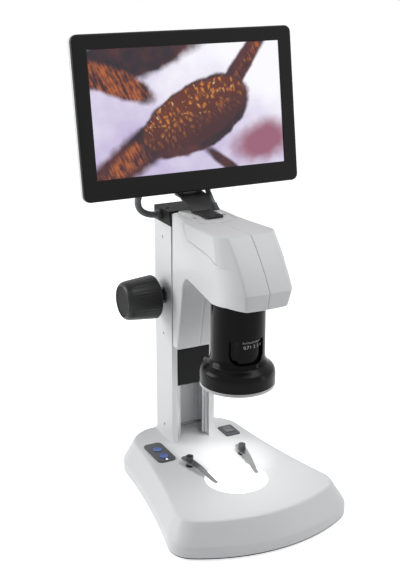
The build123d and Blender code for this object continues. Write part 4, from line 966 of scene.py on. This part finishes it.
# %% Leaning the screen
TILT = math.radians(8.67)
SCREEN_Y, SCREEN_Z = 73.5, 408.1
SCREEN_WIDTH, SCREEN_HEIGHT, SCREEN_CORNER = 247.6, 164.4, 7.0
VIEW_WIDTH, VIEW_HEIGHT, VIEW_LIFT = 217.0, 128.0, 3.0


def lean(loop, depth):
    """(across, up) at a depth behind the glass, turned about the X axis by the screen's tilt."""
    across, up = loop[:, 0], loop[:, 1]
    y = SCREEN_Y + depth * math.cos(TILT) + up * math.sin(TILT)
    z = SCREEN_Z - depth * math.sin(TILT) + up * math.cos(TILT)
    return np.column_stack([across, y, z])


def frame_loop(width, height, corner, depth, lift=0.0):
    """A rounded rectangle on the leaning screen, raised by lift along the glass."""
    return lean(rounded_rectangle(width, height, corner) + (0.0, lift), depth)


print("the screen leans", round(math.degrees(TILT), 2), "degrees")

# %% Bezel and picture panel
outer = rounded_path([(0.0, 5.0), (0.0, 0.0), (4.0, 0.0)], [1.8], 7, 3.0)
rows = [frame_loop(SCREEN_WIDTH - 2 * w, SCREEN_HEIGHT - 2 * w, SCREEN_CORNER - w, d) for w, d in outer]
inner = rounded_path([(-1.5, 0.0), (0.0, 0.0), (0.0, 2.05)], [0.4], 4, 3.0)
rows += [frame_loop(VIEW_WIDTH - 2 * w, VIEW_HEIGHT - 2 * w, 0.6, d, VIEW_LIFT) for w, d in inner]
rows += [frame_loop(225.4, 136.4, 1.0, d, VIEW_LIFT) for d in (2.05, 4.95)]
rows += [frame_loop(SCREEN_WIDTH, SCREEN_HEIGHT, SCREEN_CORNER, 5.0)]
piece("screen_frame", [grid(np.array(rows), around=True)], bezel_black, "screen", ["screen_bezel"], 30.0)

# %% [markdown]
# ## The picture on the screen
# The panel shows a live view through the lens. The picture is painted by the finish alone: a lavender white
# ground, dark purple and red-brown husks that cross it out of focus, and a ridged amber pod in the middle
# with a bright glint. It reads the object's own coordinates: x runs across the glass, and z divided by the
# cosine of the lean runs up it. Both are scaled so that the window reaches from -1 to 1 in height.

# %% Picture coordinates
picture = Finish("picture_panel", Roughness=0.16)
axes = picture.add("SeparateXYZ", {}, {"Vector": picture.place})
ASPECT = 1.695
HALF_VIEW = VIEW_HEIGHT / 2 * MM * math.cos(TILT)
across = Flow(picture, axes.socket.node.outputs[0]) * (ASPECT / (VIEW_WIDTH / 2 * MM))
up = (Flow(picture, axes.socket.node.outputs[2]) - (SCREEN_Z + VIEW_LIFT) * MM) * (1.0 / HALF_VIEW)
wobble = picture.noise(16.0, 4.0) - 0.5
wobble_fine = picture.noise(75.0, 4.0) - 0.5


def turned_axes(centre_x, centre_y, turn):
    """Coordinates about a centre, turned: u = x cos a + y sin a, v = y cos a - x sin a."""
    c, s = math.cos(math.radians(turn)), math.sin(math.radians(turn))
    px = across - centre_x
    py = up - centre_y
    return px * c + py * s, py * c - px * s


def blob(centre_x, centre_y, size_x, size_y, turn, soft, ragged=0.5):
    """1 inside a turned ellipse, 0 outside, with an edge that is soft and slightly ragged."""
    u, v = turned_axes(centre_x, centre_y, turn)
    u = u / size_x
    v = v / size_y
    distance = (u * u + v * v) ** 0.5 + wobble * ragged + wobble_fine * (ragged * 0.5)
    return 1.0 - distance.above(1.0 - soft, 1.0 + soft)


print("nodes that place the picture", len(picture.tree.nodes))

# %% Picture texture
pod_u, pod_v = turned_axes(0.10, -0.12, 24.0)
pod_place = picture.add("CombineXYZ", {}, {"X": pod_u * 1.5 + wobble * 0.5, "Y": pod_v + wobble_fine * 0.25})
ridges = picture.add("TexVoronoi", {"feature": "SMOOTH_F1"},
                     {"Vector": pod_place, "Scale": 9.5, "Smoothness": 0.5})
ridge_light = ridges.above(0.05, 0.62)
grit = picture.add("TexNoise", {}, {"Vector": pod_place, "Scale": 34.0, "Detail": 5.0, "Roughness": 0.7})
glint = picture.add("TexNoise", {}, {"Vector": pod_place, "Scale": 11.0, "Detail": 4.0}).above(0.60, 0.74)
streak_place = picture.add("CombineXYZ", {}, {"X": pod_u * 9.0, "Y": pod_v * 1.6})
streaks = picture.add("TexNoise", {}, {"Vector": streak_place, "Scale": 3.0, "Detail": 5.0})
print("nodes with the textures", len(picture.tree.nodes))

# %% Picture colours
haze = (up * 0.30 + across * 0.12 + wobble * 1.3 + 0.5).above(0.0, 1.0)
field = picture.mix(haze, (0.50, 0.42, 0.66), (0.93, 0.92, 0.98))
murk = (wobble * 1.6 + wobble_fine + 0.4).above(0.0, 1.0)
dark = picture.mix(murk, (0.010, 0.003, 0.012), (0.115, 0.020, 0.020))
husk = picture.mix((streaks + wobble_fine).above(0.35, 0.75), (0.045, 0.006, 0.012), (0.42, 0.10, 0.018))
rough_skin = (ridge_light * 0.7 + grit * 0.6).above(0.25, 0.95)
amber = picture.mix(rough_skin, (0.62, 0.20, 0.020), (0.115, 0.018, 0.006))
amber = picture.mix(glint * 0.8, amber, (0.97, 0.66, 0.34))
shade_side = (pod_v * 1.4 + wobble + 0.55).above(0.0, 1.0)
amber = picture.mix(shade_side, (0.05, 0.006, 0.010), amber)
view = field
for *ellipse, colour in (
        (1.32, -0.62, 0.52, 0.30, 14.0, 0.45, 0.9, (0.30, 0.10, 0.16)),
        (-0.95, 0.86, 1.35, 0.34, 14.0, 0.20, 0.7, dark), (-1.30, 0.48, 0.75, 0.20, -22.0, 0.22, 0.7, husk),
        (0.98, 0.62, 0.95, 0.17, 52.0, 0.16, 0.7, dark), (1.02, 0.60, 0.80, 0.07, 52.0, 0.40, 0.9, husk),
        (-1.10, -0.74, 0.95, 0.30, 30.0, 0.24, 0.8, dark), (-1.02, -0.70, 0.78, 0.17, 30.0, 0.30, 0.9, husk),
        (0.12, -0.14, 1.06, 0.53, 24.0, 0.05, 0.32, dark), (0.10, -0.10, 0.97, 0.44, 24.0, 0.06, 0.28, amber),
        (0.62, -0.95, 0.50, 0.09, -38.0, 0.35, 0.6, dark)):
    view = picture.mix(blob(*ellipse), view, colour)
picture.set({"Base Color": (0.004, 0.004, 0.005), "Emission Color": view, "Emission Strength": 1.0})
print("nodes of the whole picture", len(picture.tree.nodes))

# %% Picture panel
PANEL_DEPTHS = (2.1, 3.9)
panel = [frame_loop(225.0, 136.0, 1.0, d, VIEW_LIFT) for d in PANEL_DEPTHS]
centre = [np.tile(lean(np.array([[0.0, VIEW_LIFT]]), d), (len(panel[0]), 1)) for d in PANEL_DEPTHS]
piece("picture_panel", [grid(np.array([centre[0], panel[0], panel[1], centre[1]]), around=True)],
      picture.material, "screen", ["lcd_panel"])
softened("screen_rear_shell", white_shell, 0.8, 30.0, 3)

# %% [markdown]
# ## The stage clips
# Each clip is a strip of spring steel with a round tail, which bends down to its tip. It could be bent from a
# flat strip with a curve modifier, but its width changes too, so both width and height are given by the
# distance along it. A dark knurled screw holds it on its post.

# %% Clip leaves
POST_X, POST_Y = 32.0, 14.0
LEAF_ALONG, LEAF_ASIDE, LEAF_THICK = 48.0, 8.0, 0.6
LEAF_TAIL, TAIL_MIDDLE, TAIL_ROUND = -12.4, -7.4, 5.0


def clip_leaf(side):
    """Strip with half-width w(s) and height h(s), s from tail to tip, closed by its edges and ends."""
    toe = -side * LEAF_ASIDE
    reach = math.hypot(toe, LEAF_ALONG)
    tail = LEAF_TAIL * np.cos(np.linspace(0.0, math.pi / 2, 9))[:-1]
    s = np.concatenate([tail, np.linspace(0.0, reach, 30)])
    round_tail = TAIL_ROUND * np.sqrt(np.clip(1.0 - ((s - TAIL_MIDDLE) / TAIL_ROUND) ** 2, 0.0, 1.0))
    taper = np.interp(s, [TAIL_MIDDLE, 0.0, 14.0, reach - 1.5, reach],
                      [TAIL_ROUND, TAIL_ROUND, 4.0, 2.2, 1.6])
    width = np.where(s < TAIL_MIDDLE, round_tail, taper)
    height = np.interp(s, [LEAF_TAIL, 14.0, 17.0, reach - 8.0, reach - 6.0, reach],
                       [5.5, 5.5, 5.3, 1.15, 0.8, 0.45])
    across = np.linspace(-1.0, 1.0, 7)
    level = 0 * across
    top = np.stack([width[:, None] * across, -s[:, None] + level, height[:, None] + LEAF_THICK + level],
                   axis=-1)
    loop = np.concatenate([top, top[:, ::-1] - (0.0, 0.0, LEAF_THICK)], axis=1)
    c, n = math.cos(math.atan2(toe, LEAF_ALONG)), math.sin(math.atan2(toe, LEAF_ALONG))
    x = side * POST_X + loop[:, :, 0] * c - loop[:, :, 1] * n
    y = POST_Y + loop[:, :, 0] * n + loop[:, :, 1] * c
    return grid(np.stack([x, y, DECK + loop[:, :, 2]], axis=-1), around=True)


print("a clip reaches", round(math.hypot(LEAF_ALONG, LEAF_ASIDE), 1), "mm from its post")

# %% Clip screws
def knurl(angle, height):
    """Fine ridges round the grip of the screw."""
    grip = np.clip((height - 44.0) / 0.3, 0, 1) * np.clip((49.0 - height) / 0.3, 0, 1)
    return -0.22 * grip * (0.5 + 0.5 * np.cos(26 * angle))


screw_line = rounded_path([(0.0, 29.8), (2.5, 29.8), (2.5, 38.3), (3.5, 38.4), (3.5, 43.0), (1.6, 43.05),
                           (1.6, 43.6), (4.0, 43.65), (4.0, 49.6), (1.6, 49.6), (1.4, 48.7), (0.0, 48.7)],
                          [0.1, 0.05, 0.05, 0.05, 0.05, 0.1, 0.1, 0.6, 0.3, 0.1], 3, 1.0)
for name, side in (("left", -1.0), ("right", 1.0)):
    body = f"{name}_clip"
    piece(f"{body}_strip", [clip_leaf(side)], clip_steel, body, [f"{body}_leaf"], 30.0, close=True)
    screw = grid(turned(screw_line, (side * POST_X, POST_Y), 78, knurl), around=True)
    piece(f"{body}_screw", [screw], clip_dark, body, [f"{body}_thumbscrew"], 30.0)

# %% [markdown]
# ## Keys, switch and the other small parts
# The two blue keys are slightly dished for a fingertip, which a turned profile gives at once. Everything else
# that was machined, stamped or cast is a softened copy in its own finish. The parts that only show when the
# instrument is taken apart keep their machined mesh and get a finish.

# %% Keys
KEY, KEY_FOOT, KEY_X = 5.2, 34.6, -48.5
key_line = rounded_path([(0.0, KEY_FOOT), (KEY, KEY_FOOT), (KEY, 39.6), (4.2, 39.5), (0.0, 39.1)],
                        [0.2, 0.5, 0.8], 4, 2.0)
for name, y in (("front_key", 44.5), ("rear_key", 61.7)):
    piece(name + "_cap", [grid(turned(key_line, (KEY_X, y), 64), around=True)], blue_key, name, [name], 40.0)

# %% Softened parts
for node, finish, edge in (
        ("column", white_paint, 0.9), ("column_cap", cast_grey, 0.7), ("screen_bracket", arm_paint, 0.35),
        ("tilt_leaf", arm_paint, 0.3), ("tilt_pin", arm_paint, 0.3),
        ("slide_cover_plate", cover_black, 0.25), ("cover_screws", dark_steel, 0.3),
        ("head_top_screws", white_shell, 0.25), ("screen_screws", dark_steel, 0.25),
        ("cap_screws", arm_paint, 0.3), ("rail_screws", clip_steel, 0.2),
        ("travel_stop_rod", dark_steel, 0.2), ("guide_rails", rail_metal, 0.25),
        ("keypad_frame", grey_pad, 0.45), ("rocker_switch_frame", grey_pad, 0.4),
        ("power_rocker", rocker_grey, 0.35), ("status_lamp", lamp_white, 0.2),
        ("screen_lead_gland", rubber, 0.5), ("head_lead_gland", rubber, 0.4), ("rubber_feet", rubber, 0.4),
        ("base_plate", cover_black, 0.3), ("base_screws", steel, 0.2), ("power_inlet", black_plastic, 0.25),
        ("clip_sockets", clip_dark, 0.15), ("shaft_bushes", dark_steel, 0.3),
        ("slide_carriage", machined, 0.3)):
    softened(node, finish, edge)

# %% [markdown]
# The arm's bent sheet is a touch wider and taller at its upper bend than the machined blank, so those corner
# points of its softened copy are moved. The screws on the arm's foot are blackened, and those of the head's
# plate are white, though all of them are one part: each face takes its finish by its height.

# %% Arm's upper edge
BEND_LOW, BEND_HIGH = 316.5, 321.6
LEFT_EDGE, TALLER, DEEPER = -16.2, 1.7, 1.2
arm_mesh = bpy.data.objects["screen_bracket_skin"].data
points = np.empty(len(arm_mesh.vertices) * 3, dtype=np.float32)
arm_mesh.vertices.foreach_get("co", points)
points = points.reshape(-1, 3)
upper = (points[:, 2] > BEND_LOW * MM) & (points[:, 2] < BEND_HIGH * MM)
points[upper & (points[:, 0] < -14.0 * MM), 0] = LEFT_EDGE * MM
points[upper, 2] += TALLER * MM
points[upper & (points[:, 1] < 70.0 * MM), 1] += DEEPER * MM
arm_mesh.vertices.foreach_set("co", points.ravel())
arm_mesh.update()
print("points of the arm's upper edge", int(upper.sum()))

# %% Dark screws on the arm's foot
FOOT_SCREWS_Z = 308.6
screw_mesh = bpy.data.objects["head_top_screws_skin"].data
screw_mesh.materials.append(dark_steel)
centres = np.array([polygon.center for polygon in screw_mesh.polygons])
on_foot = centres[:, 2] > FOOT_SCREWS_Z * MM
screw_mesh.polygons.foreach_set("material_index", on_foot.astype(np.int32))
print("faces in dark steel", int(on_foot.sum()))

# %% Parts inside
board_green = moulded("board_green", (0.02, 0.10, 0.045), 0.4).material
optic = Finish("lens_glass", Roughness=0.03, IOR=1.52)
optic_tint = optic.mix(optic.noise(30.0), (0.80, 0.90, 0.98), (0.90, 0.96, 1.0))
optic.set({"Base Color": optic_tint, "Transmission Weight": 0.9})
inside = {"pinion_shaft": steel, "focus_rack": brass, "head_chassis": machined, "backlight_tray": machined,
          "lenses": optic.material, "ring_light_board": board_green, "camera_board": board_green,
          "display_board": board_green, "control_boards": board_green, "stage_light_board": board_green}
for node, finish in inside.items():
    nodes[node].data.materials.clear()
    nodes[node].data.materials.append(finish)
print("parts inside", len(inside))

# %% [markdown]
# ## The two leads
# Each lead is a soft round cable from a gland to a boot on the back of the screen. Its line is a smooth NURBS
# spline through the same route as the frame's tube, and a ring of points is carried along it: at each point
# of the line two directions square to it are found, and the ring is r cos a times the one plus r sin a times
# the other. The longer lead is made in two lengths that meet where it passes the head.

# %% Line of a lead
def spline_line(name, route):
    """Points (in mm) of an open NURBS spline of order 3 along the route."""
    curve = bpy.data.curves.new(name, "CURVE")
    curve.dimensions = "3D"
    curve.resolution_u = 14
    spline = curve.splines.new("NURBS")
    spline.points.add(len(route) - 1)
    spline.points.foreach_set("co", np.column_stack([route, np.ones(len(route))]).ravel())
    spline.order_u = 3
    spline.use_endpoint_u = True
    holder = bpy.data.objects.new(name, curve)
    bpy.context.scene.collection.objects.link(holder)
    line = bpy.data.meshes.new_from_object(holder.evaluated_get(bpy.context.evaluated_depsgraph_get()))
    points = np.empty(len(line.vertices) * 3, dtype=np.float32)
    line.vertices.foreach_get("co", points)
    bpy.data.objects.remove(holder)
    bpy.data.meshes.remove(line)
    return points.reshape(-1, 3).astype(float) / MM


def cable(line, radius, segments=20, helper=(1.0, 0.0, 0.0)):
    """Rings square to the line, the first direction square to a fixed helper, so the tube doesn't twist."""
    ahead = np.gradient(line, axis=0)
    ahead /= np.linalg.norm(ahead, axis=1)[:, None]
    first = np.cross(ahead, helper)
    first /= np.linalg.norm(first, axis=1)[:, None]
    second = np.cross(ahead, first)
    angle = np.linspace(0.0, 2 * np.pi, segments, endpoint=False)[None, :, None]
    rings = line[:, None] + radius * (np.cos(angle) * first[:, None] + np.sin(angle) * second[:, None])
    return [grid(rings, around=True), flat_face(rings[0]), flat_face(rings[-1])]


def run_length(line):
    """The sum of the distances from point to point."""
    return np.linalg.norm(np.diff(line, axis=0), axis=1).sum()


print("leads are made by", spline_line.__name__, "and", cable.__name__)

# %% Screen lead
MEETING_Z = 322.0
SCREEN_LEAD = 3.5
SCREEN_ROUTE = [(-0.030, 0.095, 0.2975), (-0.038, 0.095, 0.2975), (-0.0495, 0.0945, 0.3033),
                (-0.0557, 0.0885, 0.3140), (-0.057, 0.07887, 0.32656), (-0.057, 0.08053, 0.33743)]
screen_line = spline_line("screen_lead_line", SCREEN_ROUTE)
joint = int(np.argmax(screen_line[:, 2] > MEETING_Z))
lower_part = cable(screen_line[:joint + 1], SCREEN_LEAD, helper=(0.0, 1.0, 0.0))
upper_part = cable(screen_line[joint:], SCREEN_LEAD, helper=(0.0, 1.0, 0.0))
screen_lead = piece("screen_lead_cable", lower_part, lead_jacket, None, ["screen_lead"], 40.0)
lead_end = piece("screen_lead_end", upper_part, lead_jacket, None, (), 40.0)
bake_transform(screen_lead)
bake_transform(lead_end)
print("screen lead", round(run_length(screen_line[:joint + 1]), 1), "mm and",
      round(run_length(screen_line[joint:]), 1), "mm")

# %% Head lead
HEAD_LEAD = 3.0
HEAD_ROUTE = [(0.018, 0.05789, 0.31139), (0.018, 0.06496, 0.31846), (0.0209, 0.0767, 0.3220),
              (0.0215, 0.07962, 0.3315), (0.0215, 0.08053, 0.33743)]
head_line = spline_line("head_lead_line", HEAD_ROUTE)
head_lead = piece("head_lead_cable", cable(head_line, HEAD_LEAD), lead_jacket, None, ["head_lead"], 40.0)
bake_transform(head_lead)
print("head lead", round(run_length(head_line), 1), "mm")

# %% Boots
BOOT_DEPTH, BOOT_FOOT, BOOT_LENGTH = 17.6, -68.8, 14.0


def boot(x, radius):
    """A ribbed sleeve round a lead's end: its radius grows evenly upwards, plus a cosine over four ribs."""
    share = np.linspace(0.0, 1.0, 29)[:, None]
    angle = np.linspace(0.0, 2 * np.pi, 28, endpoint=False)
    ring = radius + 0.9 + 0.5 * share + 0.22 * np.cos(share * 8 * np.pi)
    depth = BOOT_DEPTH + ring * np.sin(angle)
    rise = BOOT_FOOT + BOOT_LENGTH * share + 0 * angle
    y = SCREEN_Y + depth * math.cos(TILT) + rise * math.sin(TILT)
    z = SCREEN_Z - depth * math.sin(TILT) + rise * math.cos(TILT)
    rings = np.stack([x + ring * np.cos(angle), y, z], axis=-1)
    return [grid(rings, around=True), flat_face(rings[0]), flat_face(rings[-1])]


sleeves = boot(SCREEN_ROUTE[-1][0] / MM, SCREEN_LEAD) + boot(HEAD_ROUTE[-1][0] / MM, HEAD_LEAD)
piece("soft_boots", sleeves, rubber, "screen", ["lead_boots"], 50.0)

# %% [markdown]
# ## Room and light
# The microscope stands on a pale floor in a white room. A large soft lamp stands at its left, a little
# behind, so the left sides are bright and the cheek turns into shade. A second lamp hangs over the front,
# right of the middle, and lights the tops and the face that leans back. A narrow strip at the right draws a
# line of light down the tube, and a soft beam under the lens adds to the ring light, so the deck round the
# stage glares. The white behind the piece is the world's colour for camera rays.

# %% Rays that show the background
def seen_directly(tree):
    """A socket that is 1 for rays from the camera, from a gloss and through glass, and 0 for light rays."""
    rays = tree.nodes.new("ShaderNodeLightPath")
    total = rays.outputs["Is Camera Ray"]
    for name in ("Is Glossy Ray", "Is Transmission Ray"):
        join = tree.nodes.new("ShaderNodeMath")
        join.operation = "MAXIMUM"
        tree.links.new(total, join.inputs[0])
        tree.links.new(rays.outputs[name], join.inputs[1])
        total = join.outputs[0]
    return total


print("rays that see the background: camera, glossy, transmission")

# %% World
world = bpy.data.worlds.new("room")
bpy.context.scene.world = world
world.use_nodes = True
tree = world.node_tree
tree.nodes.clear()
output = tree.nodes.new("ShaderNodeOutputWorld")
ambient = tree.nodes.new("ShaderNodeBackground")
ambient.inputs[0].default_value = (0.95, 0.97, 1.0, 1.0)
ambient.inputs[1].default_value = 0.18
plain = tree.nodes.new("ShaderNodeBackground")
plain.inputs[0].default_value = (1.0, 1.0, 1.0, 1.0)
plain.inputs[1].default_value = 1.0
choose = tree.nodes.new("ShaderNodeMixShader")
tree.links.new(seen_directly(tree), choose.inputs[0])
tree.links.new(ambient.outputs[0], choose.inputs[1])
tree.links.new(plain.outputs[0], choose.inputs[2])
tree.links.new(choose.outputs[0], output.inputs[0])
print("world nodes", len(tree.nodes))

# %% Lamps
def lamp(name, place, target, width, height, power):
    """A rectangular area lamp that faces its target."""
    data = bpy.data.lights.new(name, "AREA")
    data.shape = "RECTANGLE"
    data.size = width
    data.size_y = height
    data.energy = power
    holder = bpy.data.objects.new(name, data)
    holder.location = place
    toward = np.array(target) - np.array(place)
    flat = math.hypot(toward[0], toward[1])
    holder.rotation_euler = (math.atan2(flat, -toward[2]), 0.0, math.atan2(-toward[0], toward[1]))
    bpy.context.scene.collection.objects.link(holder)
    print(name, "lamp", power, "W")


lamp("key", (-1.3, 0.8, 0.8), (0.0, 0.0, 0.25), 0.9, 0.9, 16.0)
lamp("top", (0.6, -0.5, 1.6), (0.0, 0.0, 0.2), 1.0, 1.0, 12.5)
lamp("strip", (1.15, -0.85, 0.45), (0.0, 0.0, 0.25), 0.12, 1.0, 1.8)

# %% Beam under the lens
stage_beam = bpy.data.lights.new("stage_beam", "SPOT")
stage_beam.energy = 0.32
stage_beam.spot_size = math.radians(60.0)
stage_beam.spot_blend = 0.8
stage_beam.shadow_soft_size = 0.015
beam = bpy.data.objects.new("stage_beam", stage_beam)
beam.location = (0.0, AXIS_Y * MM, 0.130)
beam.rotation_euler = (math.radians(27.0), math.radians(-9.0), 0.0)
bpy.context.scene.collection.objects.link(beam)
print("beam", round(stage_beam.energy, 2), "W, turned back towards the column")

# %% [markdown]
# The floor is a plain pale sheet that takes the shadow. Rays that show the background see it lifted to the
# white of the room, by a second shader that also glows a little in its own colour.

# %% Floor
FLOOR_REACH = 4.0
floor_finish = Finish("floor", Roughness=0.6)
floor_tone = floor_finish.mix(floor_finish.noise(4.0), (0.86, 0.86, 0.87), (0.88, 0.88, 0.89))
floor_finish.set({"Base Color": floor_tone, "Specular IOR Level": 0.1})
lifted = floor_finish.tree.nodes.new("ShaderNodeBsdfPrincipled")
floor_finish.fill(lifted, {"Base Color": floor_tone, "Emission Color": floor_tone, "Emission Strength": 0.93,
                           "Roughness": 0.6, "Specular IOR Level": 0.1})
blend_floor = floor_finish.tree.nodes.new("ShaderNodeMixShader")
floor_finish.tree.links.new(seen_directly(floor_finish.tree), blend_floor.inputs[0])
floor_finish.tree.links.new(floor_finish.shader.outputs[0], blend_floor.inputs[1])
floor_finish.tree.links.new(lifted.outputs[0], blend_floor.inputs[2])
floor_finish.tree.links.new(blend_floor.outputs[0], floor_finish.output.inputs[0])
extent = np.array([[[x, y, 0.0] for x in (-FLOOR_REACH, FLOOR_REACH)] for y in (-FLOOR_REACH, FLOOR_REACH)])
corners, polygons = grid(extent)
floor_mesh = bpy.data.meshes.new("floor")
floor_mesh.from_pydata(corners.tolist(), [], polygons)
floor_mesh.materials.append(floor_finish.material)
floor = bpy.data.objects.new("floor", floor_mesh)
bpy.context.scene.collection.objects.link(floor)
print("floor", 2 * FLOOR_REACH, "m wide")

# %% Finish
bpy.context.scene.view_settings.view_transform = "Standard"
